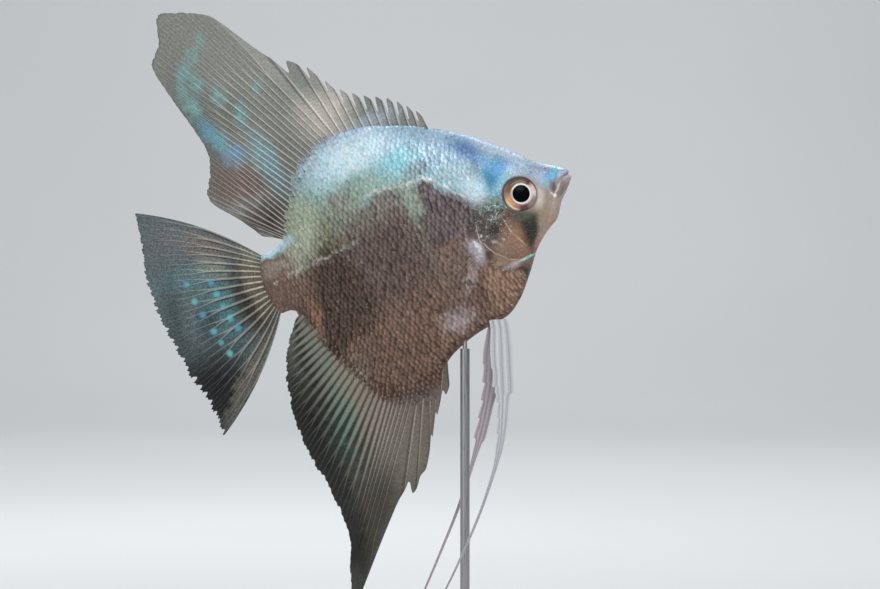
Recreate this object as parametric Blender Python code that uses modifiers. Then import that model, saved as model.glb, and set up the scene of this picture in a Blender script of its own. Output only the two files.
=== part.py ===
"""Freshwater angelfish, a life-size still model on a plain display stand.

Lengths are metres and +Z is up. The head points to +X, with the right flank towards -Y.
The fish is drawn in its own body frame, where s runs back from the snout along the long
axis, y runs towards the left flank and h runs up from the axis. An empty, fish_frame,
carries that frame with its nose-up pitch, and every piece of the fish is parented to it.
The origin is the middle of the whole model at the level the stand's base rests on.
"""
import math

import bmesh
import bpy
from mathutils import Vector

MM = 0.001
GAP = 0.3 * MM                      # clear space between pieces that meet

# Placing of the fish on its stand
PITCH = math.radians(20.0)          # nose-up lean of the long axis
SNOUT = Vector((54.87 * MM, 0.0, 133.0 * MM))

# Body, in mm of the body frame: (s, h) of the back and belly lines, (s, half width)
BODY_LENGTH = 79.7                  # snout to the corners of the tail fin's root
TAIL_LOBE = 2.5                     # rounded flesh past the corners
LIP_TIP = -0.3                      # the lips reach just past the snout's own place
LIP_ROUND = 1.2                     # length over which the lips round off
AXIS_HEIGHT = 0.3                   # level of the greatest thickness
BACK = ((0.0, 1.6), (1.0, 2.6), (3.7, 4.4), (8.0, 7.4), (9.8, 9.5), (12.0, 11.4), (20.2, 18.1),
        (28.9, 23.5), (37.0, 27.1), (46.5, 29.6), (54.0, 28.6), (60.6, 26.1), (66.3, 20.9),
        (70.5, 13.9), (73.6, 9.7), (77.0, 8.0), (82.5, 8.0))
BELLY = ((0.0, -0.8), (1.9, -3.0), (3.9, -5.0), (6.8, -9.1), (8.5, -10.1), (11.0, -11.8),
         (14.2, -14.7), (17.3, -18.9), (22.6, -25.0), (26.8, -27.7), (34.7, -29.1), (42.3, -31.8),
         (48.6, -35.9), (55.1, -37.5), (60.0, -36.2), (64.3, -33.1), (67.6, -27.6), (73.2, -15.7),
         (75.6, -9.6), (77.6, -7.8), (82.5, -8.0))
HALF_WIDTH = ((0.0, 1.7), (3.0, 2.5), (7.0, 3.7), (13.0, 5.3), (20.0, 6.2), (28.0, 6.5),
              (38.0, 6.2), (50.0, 5.3), (60.0, 4.1), (70.0, 2.9), (77.0, 2.1), (82.5, 1.4))
RING_CORNERS = 24
FULLNESS = ((0.0, 0.55), (15.0, 0.6), (35.0, 0.7), (60.0, 0.95), (75.0, 0.8), (82.5, 0.6))

# Thin cuts that part the body, as (s, h) lines across its side
CUT_REACH = 45.0                    # cuts run this far past the body's outline
HEAD_EDGE = ((26.9, CUT_REACH), (26.6, 12.0), (25.2, -2.0), (27.2, -3.8), (28.1, -5.8),
             (27.8, -7.9), (26.4, -10.3), (24.1, -12.6), (21.4, -14.7), (18.5, -15.6),
             (15.8, -15.5), (13.6, -14.6), (10.0, -17.5))
JAW_EDGE = ((2.0, 6.0), (2.5, 2.6), (3.9, 0.4), (4.1, -0.9), (6.3, -4.1), (7.9, -7.0), (8.3, -12.0))
JAW_CORNER = 3                      # place in JAW_EDGE where the mouth ends
MOUTH_LINE = ((-3.0, 1.0), (0.6, 0.75), JAW_EDGE[JAW_CORNER])
TAIL_CUT = 73.0                     # s of the cut between trunk and tail stalk

# Eyes and gill covers
EYE_PLACE = (13.1, 0.0)             # s, h
EYE_RADIUS = 4.5
EYE_HALF_DEPTH = 1.9
EYE_SIDEWAYS = 4.5                  # y of the eye's middle
EYE_TOE_IN = math.radians(10.0)     # the eyes look slightly forward
GILL_COVER_THICKNESS = 1.2
GILL_COVER_RINGS = (0.3, 0.65, 1.0) # rings of corners from the plate's middle to its edge
RECESS_PROUD = 1.0                  # the recess cutter stands this far out of the cheek
GILL_COVER_OUTLINE = ((20.6, -3.4), (23.0, -2.4), (25.0, -2.4), (26.9, -3.9), (27.8, -5.9),
                      (27.4, -7.9), (26.1, -10.1), (23.9, -12.2), (21.3, -14.2), (18.6, -15.0),
                      (17.5, -13.6), (17.7, -11.3), (18.7, -8.9), (19.7, -6.4))

# Dorsal fin: 12 spines, then 26 soft rays; (ray, s) of the roots, (ray, s, h) of the tips
DORSAL_RAYS = 38
DORSAL_SPINES = 12
DORSAL_ROOTS = ((0, 29.6), (11, 51.9), (15, 56.8), (21, 63.3), (27, 68.3), (33, 72.0), (37, 73.6))
DORSAL_TIPS = ((0, 29.9, 27.7), (3, 35.5, 33.5), (6, 43.1, 37.6), (8, 48.3, 41.7),
               (9, 51.2, 46.2), (10, 54.7, 50.4), (11, 60.3, 53.6), (12, 71.9, 69.6),
               (14, 78.0, 72.4), (16, 83.5, 74.0), (19, 86.4, 66.5), (21, 89.7, 62.1),
               (24, 87.8, 53.1), (27, 85.2, 43.9), (30, 83.8, 36.9), (32, 85.3, 31.3),
               (34, 87.6, 26.0), (36, 81.6, 17.6), (37, 78.0, 12.3))

# Anal fin: 6 spines, then 27 soft rays
ANAL_RAYS = 33
ANAL_SPINES = 6
ANAL_ROOTS = ((0, 45.3), (5, 54.3), (11, 60.6), (17, 66.0), (23, 70.4), (28, 73.5), (32, 75.8))
ANAL_TIPS = ((0, 46.6, -39.8), (1, 50.6, -43.4), (2, 54.0, -48.3), (3, 56.9, -53.4),
             (4, 63.4, -61.5), (5, 66.6, -61.0), (6, 87.0, -82.5), (7, 88.0, -81.5),
             (9, 85.9, -74.2), (12, 83.1, -65.1), (15, 83.8, -53.6), (18, 85.7, -44.3),
             (21, 86.2, -36.1), (24, 85.5, -27.5), (27, 83.6, -20.2), (30, 80.4, -14.1),
             (32, 77.4, -10.4))

# Tail fin: 17 main rays from the upper corner to the lower one
CAUDAL_RAYS = 17
CAUDAL_TIPS = ((0, 106.5, 28.9), (1, 106.8, 24.4), (4, 108.6, 16.0), (6, 109.4, 9.8),
               (8, 109.4, 2.4), (10, 108.6, -5.7), (12, 107.1, -14.8), (14, 105.1, -23.9),
               (16, 104.4, -31.8))
CAUDAL_ROOT_SWEEP = math.radians(78.0)
CAUDAL_BOW = 0.055                  # how far the outer rays bow out, per ray length

# Pelvic fins: (station, s, h) along the middle, (station, half width)
PELVIC_STATIONS = 8
PELVIC_PATH_RIGHT = ((0, 29.3, -28.9), (1, 31.6, -36.2), (2, 34.3, -44.6), (3, 36.9, -51.5),
                     (4, 40.4, -58.6), (5, 48.2, -69.2), (6, 59.3, -81.2), (7, 76.0, -97.0))
PELVIC_PATH_LEFT = ((0, 29.9, -28.9), (1, 33.2, -35.0), (2, 37.0, -43.0), (3, 41.5, -50.6),
                    (4, 47.1, -58.9), (5, 54.6, -68.7), (6, 64.6, -79.9), (7, 79.4, -95.6))
PELVIC_HALF_WIDTH = ((0, 2.2), (1, 2.8), (2, 2.8), (3, 1.6), (4, 0.75), (5, 0.6), (6, 0.5), (7, 0.3))
PELVIC_SPREAD = ((0, 0.95), (2, 3.0), (4, 5.2), (7, 5.6))      # (station, y off the mid-plane)

# Pectoral fins: a fan of soft rays from an upright root on each flank
PECTORAL_RAYS = 11
PECTORAL_ROOT = ((29.0, -8.4), (29.9, -11.6))                  # top and bottom of the root, (s, h)
PECTORAL_SWEEP = (math.radians(16.0), math.radians(-72.0))     # slope of the top and bottom rays
PECTORAL_LENGTH = ((0, 13.0), (3, 16.5), (6, 16.0), (10, 10.0))
PECTORAL_STAND_OUT = math.radians(24.0)                        # lean away from the flank

# Fin thickness at the root and at the margin
FIN_ROOT_THICKNESS = 1.1
PAIRED_FIN_THICKNESS = 0.7
FIN_EDGE_THICKNESS = 0.5
FIN_CLEARANCE = 0.4                 # from the body's line to the fin's root
WEB_DIP = 0.15                      # how far the web between two spines falls short of them

# How far each unpaired fin's margin sways to one side
DORSAL_SWAY = 1.6
ANAL_SWAY = -1.8
CAUDAL_SWAY = 1.3

# Stand
BASE_SIZE = Vector((92.0, 56.0, 8.0)) * MM
BASE_BEVEL = 1.2 * MM
ROD_RADIUS = 1.2 * MM
ROD_BEHIND_SNOUT = 26.4 * MM        # world X from the snout back to the rod
ROD_SOCKET_DEPTH = 5.0 * MM
ROD_SIDES = 24

# Principled values: base colour, roughness, metallic
FINISHES = {
    "skin_flank": ((0.30, 0.24, 0.22), 0.38, 0.2),
    "skin_head": ((0.50, 0.55, 0.62), 0.35, 0.2),
    "skin_jaw": ((0.60, 0.50, 0.46), 0.35, 0.0),
    "gill_plate": ((0.42, 0.33, 0.27), 0.3, 0.3),
    "eye_gloss": ((0.02, 0.02, 0.02), 0.08, 0.0),
    "fin_membrane": ((0.45, 0.46, 0.44), 0.45, 0.0),
    "fin_clear": ((0.62, 0.58, 0.54), 0.4, 0.0),
    "stand_wood": ((0.06, 0.045, 0.04), 0.4, 0.0),
    "stand_steel": ((0.6, 0.6, 0.6), 0.25, 1.0),
}


def clear_scene():
    """Remove every object, so the script can run in any open file."""
    for thing in list(bpy.data.objects):
        bpy.data.objects.remove(thing, do_unlink=True)


def make_collection(name):
    """Add a collection to the scene."""
    collection = bpy.data.collections.new(name)
    bpy.context.scene.collection.children.link(collection)
    return collection


def make_material(name):
    """Build a Principled material from its row in FINISHES."""
    colour, roughness, metallic = FINISHES[name]
    material = bpy.data.materials.new(name)
    material.use_nodes = True
    shader = material.node_tree.nodes["Principled BSDF"]
    shader.inputs["Base Color"].default_value = (*colour, 1.0)
    shader.inputs["Roughness"].default_value = roughness
    shader.inputs["Metallic"].default_value = metallic
    return material


def add_object(name, bm, collection, material=None, parent=None):
    """Turn a bmesh into a named object, with its faces pointing out."""
    bmesh.ops.recalc_face_normals(bm, faces=bm.faces)
    mesh = bpy.data.meshes.new(name)
    bm.to_mesh(mesh)
    bm.free()
    mesh.shade_smooth()
    mesh.set_sharp_from_angle(angle=math.radians(40.0))
    thing = bpy.data.objects.new(name, mesh)
    collection.objects.link(thing)
    if material:
        mesh.materials.append(material)
    thing.parent = parent
    return thing


def as_cutter(thing):
    """Mark an object as a guide that is never drawn or built."""
    thing.hide_render = True
    thing.display_type = "WIRE"
    return thing


def add_boolean(thing, operation, cutter):
    """Cut or trim an object with another."""
    boolean = thing.modifiers.new(operation.lower() + "_" + cutter.name, "BOOLEAN")
    boolean.operation = operation
    boolean.solver = "EXACT"
    boolean.object = cutter


def smooth_value(knots, x, column=1):
    """Read a smooth line through the knots at x, with no overshoot between them."""
    last = len(knots) - 1
    if x <= knots[0][0]:
        return knots[0][column]
    if x >= knots[last][0]:
        return knots[last][column]
    place = max(i for i in range(last) if knots[i][0] <= x)
    steps = [knots[i + 1][0] - knots[i][0] for i in range(last)]
    slopes = [(knots[i + 1][column] - knots[i][column]) / steps[i] for i in range(last)]

    def tangent(i):
        if i == 0 or i == last:
            return slopes[min(i, last - 1)]
        before, after = slopes[i - 1], slopes[i]
        if before * after <= 0.0:
            return 0.0
        return 2.0 * before * after / (before + after)

    step = steps[place]
    t = (x - knots[place][0]) / step
    start, end = knots[place][column], knots[place + 1][column]
    return ((2 * t ** 3 - 3 * t ** 2 + 1) * start + (t ** 3 - 2 * t ** 2 + t) * step * tangent(place)
            + (3 * t ** 2 - 2 * t ** 3) * end + (t ** 3 - t ** 2) * step * tangent(place + 1))


def body_point(s, y, h):
    """A place in the body frame, from mm."""
    return Vector((-s, y, h)) * MM


def end_rounding(s):
    """How far the section has grown at s: rounded lips in front, a rounded lobe behind."""
    if s < LIP_TIP + LIP_ROUND:
        return math.sqrt(max(0.0, 1.0 - (1.0 - (s - LIP_TIP) / LIP_ROUND) ** 2))
    if s > BODY_LENGTH:
        return math.sqrt(max(0.0, 1.0 - ((s - BODY_LENGTH) / TAIL_LOBE) ** 2))
    return 1.0


def back_height(s):
    """Height of the back line at s."""
    return AXIS_HEIGHT + (smooth_value(BACK, s) - AXIS_HEIGHT) * end_rounding(s)


def belly_height(s):
    """Height of the belly line at s."""
    return AXIS_HEIGHT + (smooth_value(BELLY, s) - AXIS_HEIGHT) * end_rounding(s)


def flank(s, h):
    """Half thickness of the body at a place on its side."""
    edge = back_height(s) if h >= AXIS_HEIGHT else belly_height(s)
    reach = min(1.0, abs((h - AXIS_HEIGHT) / (edge - AXIS_HEIGHT)))
    width = smooth_value(HALF_WIDTH, s) * end_rounding(s)
    return width * (1.0 - reach ** 2) ** smooth_value(FULLNESS, s)


def body_ring(s, corners):
    """One cross-section of the body: a lens with keeled back and belly."""
    ring = []
    above, below = back_height(s) - AXIS_HEIGHT, AXIS_HEIGHT - belly_height(s)
    for i in range(corners):
        angle = 2.0 * math.pi * i / corners
        rise = math.sin(angle)
        h = AXIS_HEIGHT + rise * (above if rise >= 0.0 else below)
        ring.append(body_point(s, math.copysign(flank(s, h), math.cos(angle)), h))
    return ring


def body_stations():
    """Places of the cross-sections along the body, closer together at its ends."""
    nose = [LIP_TIP + LIP_ROUND * (1.0 - math.cos(math.radians(a))) for a in (20, 45, 68, 90)]
    middle_steps = 40
    middle = [nose[-1] + (BODY_LENGTH - nose[-1]) * i / middle_steps
              for i in range(1, middle_steps + 1)]
    lobe = [BODY_LENGTH + TAIL_LOBE * math.sin(math.radians(a)) for a in (30, 55, 75, 86)]
    return nose + middle + lobe


def bridge(bm, loops):
    """Join a row of corner loops with faces and close both ends."""
    for one, other in zip(loops, loops[1:]):
        for i in range(len(one)):
            j = (i + 1) % len(one)
            bm.faces.new((one[i], one[j], other[j], other[i]))
    bm.faces.new(loops[0])
    bm.faces.new(loops[-1])


def loft(rings):
    """Skin a row of rings into one closed body."""
    bm = bmesh.new()
    bridge(bm, [[bm.verts.new(place) for place in ring] for ring in rings])
    return bm


def offset_line(line, distance):
    """Move a line of (s, h) points sideways, to the left of its own direction."""
    moved = []
    for i, (s, h) in enumerate(line):
        before = line[max(0, i - 1)]
        after = line[min(len(line) - 1, i + 1)]
        along = Vector((after[0] - before[0], after[1] - before[1])).normalized()
        moved.append((s - along.y * distance, h + along.x * distance))
    return moved


def side_prism(name, outline, cutters, frame):
    """An outline on the fish's side, drawn out right through the body."""
    half_span = 20.0
    bm = bmesh.new()
    face = bm.faces.new([bm.verts.new(body_point(s, -half_span, h)) for s, h in outline])
    grown = bmesh.ops.extrude_face_region(bm, geom=[face])
    corners = [item for item in grown["geom"] if isinstance(item, bmesh.types.BMVert)]
    bmesh.ops.translate(bm, verts=corners, vec=Vector((0.0, 2.0 * half_span * MM, 0.0)))
    return as_cutter(add_object(name, bm, cutters, parent=frame))


def region_outlines():
    """The outline that keeps each piece of the body, half a gap inside its cuts."""
    half_gap = 0.5 * GAP / MM
    ahead, chin, tail_end = -5.0, -14.0, 90.0
    jaw_rear = offset_line(JAW_EDGE, -half_gap)
    cheek_front = offset_line(JAW_EDGE, half_gap)
    trunk_rear, stalk_front = TAIL_CUT - half_gap, TAIL_CUT + half_gap
    return {
        "head": offset_line(HEAD_EDGE, -half_gap) + [(JAW_EDGE[-1][0], -CUT_REACH)]
        + cheek_front[::-1] + [(JAW_EDGE[0][0], CUT_REACH)],
        "jaw_upper": offset_line(MOUTH_LINE, half_gap)[:-1] + jaw_rear[JAW_CORNER::-1]
        + [(ahead, JAW_EDGE[0][1])],
        "jaw_lower": offset_line(MOUTH_LINE, -half_gap)[:-1] + jaw_rear[JAW_CORNER:]
        + [(JAW_EDGE[-1][0], chin), (ahead, chin)],
        "trunk": offset_line(HEAD_EDGE, half_gap) + [(JAW_EDGE[-1][0], -CUT_REACH),
                                                     (trunk_rear, -CUT_REACH), (trunk_rear, CUT_REACH)],
        "tail_stalk": [(stalk_front, -CUT_REACH), (tail_end, -CUT_REACH), (tail_end, CUT_REACH),
                       (stalk_front, CUT_REACH)],
    }


def ellipsoid(radius, half_depth, centre, turn):
    """A sphere flattened along Y, turned about the upright axis and put in place."""
    bm = bmesh.new()
    bmesh.ops.create_uvsphere(bm, u_segments=20, v_segments=10, radius=1.0)
    for corner in bm.verts:
        x, y, z = corner.co
        flat = Vector((x * radius, -z * half_depth, y * radius)) * MM
        across = flat.x * math.cos(turn) - flat.y * math.sin(turn)
        along = flat.x * math.sin(turn) + flat.y * math.cos(turn)
        corner.co = centre + Vector((across, along, flat.z))
    return bm


def make_eye(name, side, collection, material, frame, room=0.0):
    """A flattened eyeball; room makes it larger all round, for its socket."""
    centre = body_point(EYE_PLACE[0], side * EYE_SIDEWAYS, EYE_PLACE[1])
    bm = ellipsoid(EYE_RADIUS + room, EYE_HALF_DEPTH + room, centre, -side * EYE_TOE_IN)
    return add_object(name, bm, collection, material, frame)


def make_gill_cover(name, side, collection, material, frame, room=0.0):
    """A thin plate that follows the cheek's surface; room grows it into its recess."""
    count = len(GILL_COVER_OUTLINE)
    middle = Vector((sum(s for s, h in GILL_COVER_OUTLINE), sum(h for s, h in GILL_COVER_OUTLINE))) / count
    proud = RECESS_PROUD if room > 0.0 else 0.0
    layers = [(share, proud) for share in GILL_COVER_RINGS]
    layers += [(share, -GILL_COVER_THICKNESS - room) for share in reversed(GILL_COVER_RINGS)]
    bm = bmesh.new()
    loops = []
    for share, depth in layers:
        loop = []
        for corner in GILL_COVER_OUTLINE:
            reach = Vector(corner) - middle
            place = middle + reach * share * (1.0 + room / reach.length)
            y = side * (flank(place.x, place.y) + depth)
            loop.append(bm.verts.new(body_point(place.x, y, place.y)))
        loops.append(loop)
    bridge(bm, loops)
    return add_object(name, bm, collection, material, frame)


def profile_root(height, s):
    """A place one gap clear of the back or belly line, square to it."""
    step = 0.2
    along = Vector((2.0 * step, height(s + step) - height(s - step))).normalized()
    outward = Vector((-along.y, along.x)) if height is back_height else Vector((along.y, -along.x))
    return Vector((s, height(s))) + outward * FIN_CLEARANCE


def membrane_dip(ray, spines):
    """How much shorter the web between two rays is than the rays, as a share of length."""
    if ray > spines:
        return 0.0
    return WEB_DIP * math.sin(math.pi * ray) ** 2


def make_fin(name, rays, surface, collection, material, frame, rows=4, spines=0,
             thickness=FIN_ROOT_THICKNESS):
    """A web over a fan of rays, thick at the root and thin at the margin.

    surface(ray, out) gives the body-frame place (s, y, h) in mm, with ray from 0 to rays - 1
    and out from 0 at the root to 1 at the margin. The web dips between the spines in front,
    which takes a column of corners between each two of them.
    """
    bm = bmesh.new()
    columns = rays - 1 + spines
    bmesh.ops.create_grid(bm, x_segments=columns, y_segments=rows, size=1.0)
    weights = []
    for corner in bm.verts:
        column = 0.5 * (corner.co.x + 1.0) * columns
        ray = 0.5 * column if column < 2 * spines else column - spines
        out = 0.5 * (corner.co.y + 1.0)
        weights.append(1.0 + (FIN_EDGE_THICKNESS / thickness - 1.0) * out ** 0.7)
        corner.co = body_point(*surface(ray, out))
    fin = add_object(name, bm, collection, material, frame)
    group = fin.vertex_groups.new(name="thickness")
    for index, weight in enumerate(weights):
        group.add([index], weight, "REPLACE")
    solid = fin.modifiers.new("web", "SOLIDIFY")
    solid.thickness = thickness * MM
    solid.offset = 0.0
    solid.vertex_group = group.name
    return fin


def dorsal_surface(ray, out):
    """Dorsal fin: spiny in front, swept back to a tall rear point."""
    root = profile_root(back_height, smooth_value(DORSAL_ROOTS, ray))
    tip = Vector((smooth_value(DORSAL_TIPS, ray, 1), smooth_value(DORSAL_TIPS, ray, 2)))
    reach = (tip - root) * out * (1.0 - membrane_dip(ray, DORSAL_SPINES - 1))
    sideways = DORSAL_SWAY * out ** 2 * math.sin(math.pi * ray / DORSAL_RAYS)
    return root.x + reach.x, sideways, root.y + reach.y


def anal_surface(ray, out):
    """Anal fin: the dorsal fin's counterpart below, with a longer front lobe."""
    root = profile_root(belly_height, smooth_value(ANAL_ROOTS, ray))
    tip = Vector((smooth_value(ANAL_TIPS, ray, 1), smooth_value(ANAL_TIPS, ray, 2)))
    reach = (tip - root) * out * (1.0 - membrane_dip(ray, ANAL_SPINES - 1))
    sideways = ANAL_SWAY * out ** 2 * math.sin(math.pi * ray / ANAL_RAYS)
    return root.x + reach.x, sideways, root.y + reach.y


def caudal_surface(ray, out):
    """Tail fin: a fan from the rounded end of the tail stalk."""
    spread = 1.0 - 2.0 * ray / (CAUDAL_RAYS - 1)
    angle = CAUDAL_ROOT_SWEEP * spread
    half_height = 0.5 * (smooth_value(BACK, BODY_LENGTH) - smooth_value(BELLY, BODY_LENGTH))
    root = Vector((BODY_LENGTH + (TAIL_LOBE + FIN_CLEARANCE) * math.cos(angle),
                   AXIS_HEIGHT + (half_height + FIN_CLEARANCE) * math.sin(angle)))
    tip = Vector((smooth_value(CAUDAL_TIPS, ray, 1), smooth_value(CAUDAL_TIPS, ray, 2)))
    along = tip - root
    bowed = Vector((-along.y, along.x)) * CAUDAL_BOW * spread * 4.0 * out * (1.0 - out)
    place = root + along * out + bowed
    sideways = CAUDAL_SWAY * out ** 2 * math.cos(1.5 * math.pi * ray / CAUDAL_RAYS)
    return place.x, sideways, place.y


def pelvic_surface(path, side):
    """A pelvic fin's surface: a blade that narrows to a trailing filament."""
    def surface(across, out):
        station = out * (PELVIC_STATIONS - 1)
        step = 0.1
        here = Vector((smooth_value(path, station, 1), smooth_value(path, station, 2)))
        ahead = Vector((smooth_value(path, station + step, 1), smooth_value(path, station + step, 2)))
        behind = Vector((smooth_value(path, station - step, 1), smooth_value(path, station - step, 2)))
        along = (ahead - behind).normalized()
        shift = smooth_value(PELVIC_HALF_WIDTH, station) * (across - 1.0)
        if out == 0.0:
            along = Vector((0.0, -1.0))
        place = here + Vector((-along.y, along.x)) * shift
        return place.x, side * smooth_value(PELVIC_SPREAD, station), place.y
    return surface


def pectoral_surface(side):
    """A pectoral fin's surface: a rounded fan that stands a little off the flank."""
    def surface(ray, out):
        share = ray / (PECTORAL_RAYS - 1)
        top, bottom = Vector(PECTORAL_ROOT[0]), Vector(PECTORAL_ROOT[1])
        root = top.lerp(bottom, share)
        slope = PECTORAL_SWEEP[0] + (PECTORAL_SWEEP[1] - PECTORAL_SWEEP[0]) * share
        length = smooth_value(PECTORAL_LENGTH, ray) * out
        flat = length * math.cos(PECTORAL_STAND_OUT)
        base = flank(root.x, root.y) + 0.5 * PAIRED_FIN_THICKNESS + FIN_CLEARANCE
        y = side * (base + length * math.sin(PECTORAL_STAND_OUT))
        return root.x + flat * math.cos(slope), y, root.y + flat * math.sin(slope)
    return surface


def build_body(parts, cutters, materials, frame):
    """Head, jaws, trunk and tail stalk: one body parted by thin cuts, with its recesses."""
    rings = [body_ring(s, RING_CORNERS) for s in body_stations()]
    sockets = []
    recesses = []
    for side, side_name in ((-1.0, "right"), (1.0, "left")):
        room = GAP / MM
        socket = make_eye("socket_" + side_name, side, cutters, None, frame, room)
        recess = make_gill_cover("recess_" + side_name, side, cutters, None, frame, room)
        sockets.append(as_cutter(socket))
        recesses.append(as_cutter(recess))
    finishes = {"head": "skin_head", "jaw_upper": "skin_jaw", "jaw_lower": "skin_jaw",
                "trunk": "skin_flank", "tail_stalk": "skin_flank"}
    for name, outline in region_outlines().items():
        piece = add_object(name, loft(rings), parts, materials[finishes[name]], frame)
        add_boolean(piece, "INTERSECT", side_prism("region_" + name, outline, cutters, frame))
        if name == "head":
            for cutter in sockets:
                add_boolean(piece, "DIFFERENCE", cutter)
        if name in ("head", "trunk"):
            for cutter in recesses:
                add_boolean(piece, "DIFFERENCE", cutter)


def build_head_pieces(parts, materials, frame):
    """The eyes and gill covers of both sides."""
    for side, side_name in ((-1.0, "right"), (1.0, "left")):
        make_eye("eye_" + side_name, side, parts, materials["eye_gloss"], frame)
        make_gill_cover("gill_cover_" + side_name, side, parts, materials["gill_plate"], frame)


def build_fins(parts, materials, frame):
    """The unpaired fins, then the paired ones."""
    membrane = materials["fin_membrane"]
    clear = materials["fin_clear"]
    make_fin("dorsal_fin", DORSAL_RAYS, dorsal_surface, parts, membrane, frame,
             spines=DORSAL_SPINES - 1)
    make_fin("anal_fin", ANAL_RAYS, anal_surface, parts, membrane, frame, spines=ANAL_SPINES - 1)
    make_fin("caudal_fin", CAUDAL_RAYS, caudal_surface, parts, membrane, frame, rows=6)
    for side, side_name, path in ((-1.0, "right", PELVIC_PATH_RIGHT), (1.0, "left", PELVIC_PATH_LEFT)):
        make_fin("pelvic_fin_" + side_name, 3, pelvic_surface(path, side), parts, clear, frame,
                 rows=32, thickness=PAIRED_FIN_THICKNESS)
        make_fin("pectoral_fin_" + side_name, PECTORAL_RAYS, pectoral_surface(side), parts, clear,
                 frame, thickness=PAIRED_FIN_THICKNESS)


def build_stand(parts, cutters, materials):
    """A bevelled base plate with one slim rod that comes up under the belly."""
    rod_x = SNOUT.x - ROD_BEHIND_SNOUT
    bm = bmesh.new()
    bmesh.ops.create_cube(bm, size=1.0)
    bmesh.ops.scale(bm, verts=bm.verts, vec=BASE_SIZE)
    bmesh.ops.translate(bm, verts=bm.verts, vec=Vector((0.0, 0.0, 0.5 * BASE_SIZE.z)))
    base = add_object("stand_base", bm, parts, materials["stand_wood"])
    bevel = base.modifiers.new("eased_edges", "BEVEL")
    bevel.width = BASE_BEVEL
    bevel.segments = 2
    floor_of_socket = BASE_SIZE.z - ROD_SOCKET_DEPTH
    hole = round_bar("rod_socket", ROD_RADIUS + GAP, floor_of_socket, 2.0 * BASE_SIZE.z, rod_x, cutters)
    add_boolean(base, "DIFFERENCE", as_cutter(hole))
    rod_top = min(belly_level(rod_x + step * ROD_RADIUS) for step in (-1.0, 0.0, 1.0)) - GAP
    round_bar("stand_rod", ROD_RADIUS, floor_of_socket + GAP, rod_top, rod_x, parts,
              materials["stand_steel"])


def belly_level(x):
    """World height of the belly line above a place on the X axis."""
    fine_steps = 800
    stations = [BODY_LENGTH * i / fine_steps for i in range(fine_steps)]
    nearest = min(stations, key=lambda s: abs(world_place(s, belly_height(s)).x - x))
    return world_place(nearest, belly_height(nearest)).z


def world_place(s, h):
    """World place of a point on the fish's mid-plane."""
    forward = Vector((math.cos(PITCH), 0.0, math.sin(PITCH)))
    upward = Vector((-math.sin(PITCH), 0.0, math.cos(PITCH)))
    return SNOUT - forward * s * MM + upward * h * MM


def round_bar(name, radius, bottom, top, x, collection, material=None):
    """An upright round bar between two levels."""
    bm = bmesh.new()
    bmesh.ops.create_cone(bm, cap_ends=True, segments=ROD_SIDES, radius1=radius, radius2=radius,
                          depth=top - bottom)
    bmesh.ops.translate(bm, verts=bm.verts, vec=Vector((x, 0.0, 0.5 * (top + bottom))))
    return add_object(name, bm, collection, material)


def main():
    """Build the whole model."""
    clear_scene()
    parts = make_collection("freshwater_angelfish")
    cutters = make_collection("cutters")
    materials = {name: make_material(name) for name in FINISHES}
    frame = bpy.data.objects.new("fish_frame", None)
    frame.location = SNOUT
    frame.rotation_euler = (0.0, -PITCH, 0.0)
    parts.objects.link(frame)
    build_body(parts, cutters, materials, frame)
    build_head_pieces(parts, materials, frame)
    build_fins(parts, materials, frame)
    build_stand(parts, cutters, materials)


main()
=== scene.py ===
"""Looks of a life-size freshwater angelfish on its display stand.

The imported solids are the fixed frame. One skin replaces the flesh, a coat of overlapping
scales lies on it, each fin is a rayed web, and eyeballs, their rims and the stand are pieces
of their own. A mark is a soft oval of colour; the marks stand in tables, from the lowest up.
The fish is drawn in its body frame, in millimetres: s runs back from the snout along the
long axis, y towards the left flank and h up from the axis. BodyFrame turns that into metres.
"""
import logging
import math
from collections.abc import Callable, Sequence
from dataclasses import dataclass
from enum import Enum

import bmesh
import bpy
import numpy as np
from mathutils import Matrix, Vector


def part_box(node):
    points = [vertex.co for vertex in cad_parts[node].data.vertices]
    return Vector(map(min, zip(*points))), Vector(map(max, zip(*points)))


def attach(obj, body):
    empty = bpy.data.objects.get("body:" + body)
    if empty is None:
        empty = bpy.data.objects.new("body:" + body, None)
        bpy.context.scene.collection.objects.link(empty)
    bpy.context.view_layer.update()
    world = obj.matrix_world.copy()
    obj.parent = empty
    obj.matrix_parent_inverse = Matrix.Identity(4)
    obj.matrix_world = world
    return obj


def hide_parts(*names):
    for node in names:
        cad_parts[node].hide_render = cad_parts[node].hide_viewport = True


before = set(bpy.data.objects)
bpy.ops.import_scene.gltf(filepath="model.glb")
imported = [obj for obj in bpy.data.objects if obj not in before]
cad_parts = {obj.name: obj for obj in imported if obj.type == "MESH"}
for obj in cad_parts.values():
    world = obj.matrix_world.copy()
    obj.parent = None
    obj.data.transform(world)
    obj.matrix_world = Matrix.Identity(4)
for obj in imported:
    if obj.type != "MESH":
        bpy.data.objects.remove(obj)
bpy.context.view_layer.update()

LOG = logging.getLogger("angelfish")
MM = 0.001
BAKE_MAP = "OFBake"
Array = np.ndarray
Places = tuple[Array, Array, Array]
Mesh = bpy.types.Mesh
Material = bpy.types.Material
Node = bpy.types.Node
NodeTree = bpy.types.NodeTree
Colour = tuple[float, float, float]
Knots = Sequence[tuple[float, ...]]
Surface = Callable[[Array, Array], Places]


class Flank(Enum):
    """The two sides of the fish, each with its direction along y."""

    RIGHT = -1.0
    LEFT = 1.0

    @property
    def label(self) -> str:
        """The side's name as it stands in piece names."""
        return self.name.lower()


# ---- lines and the body's form

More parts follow.
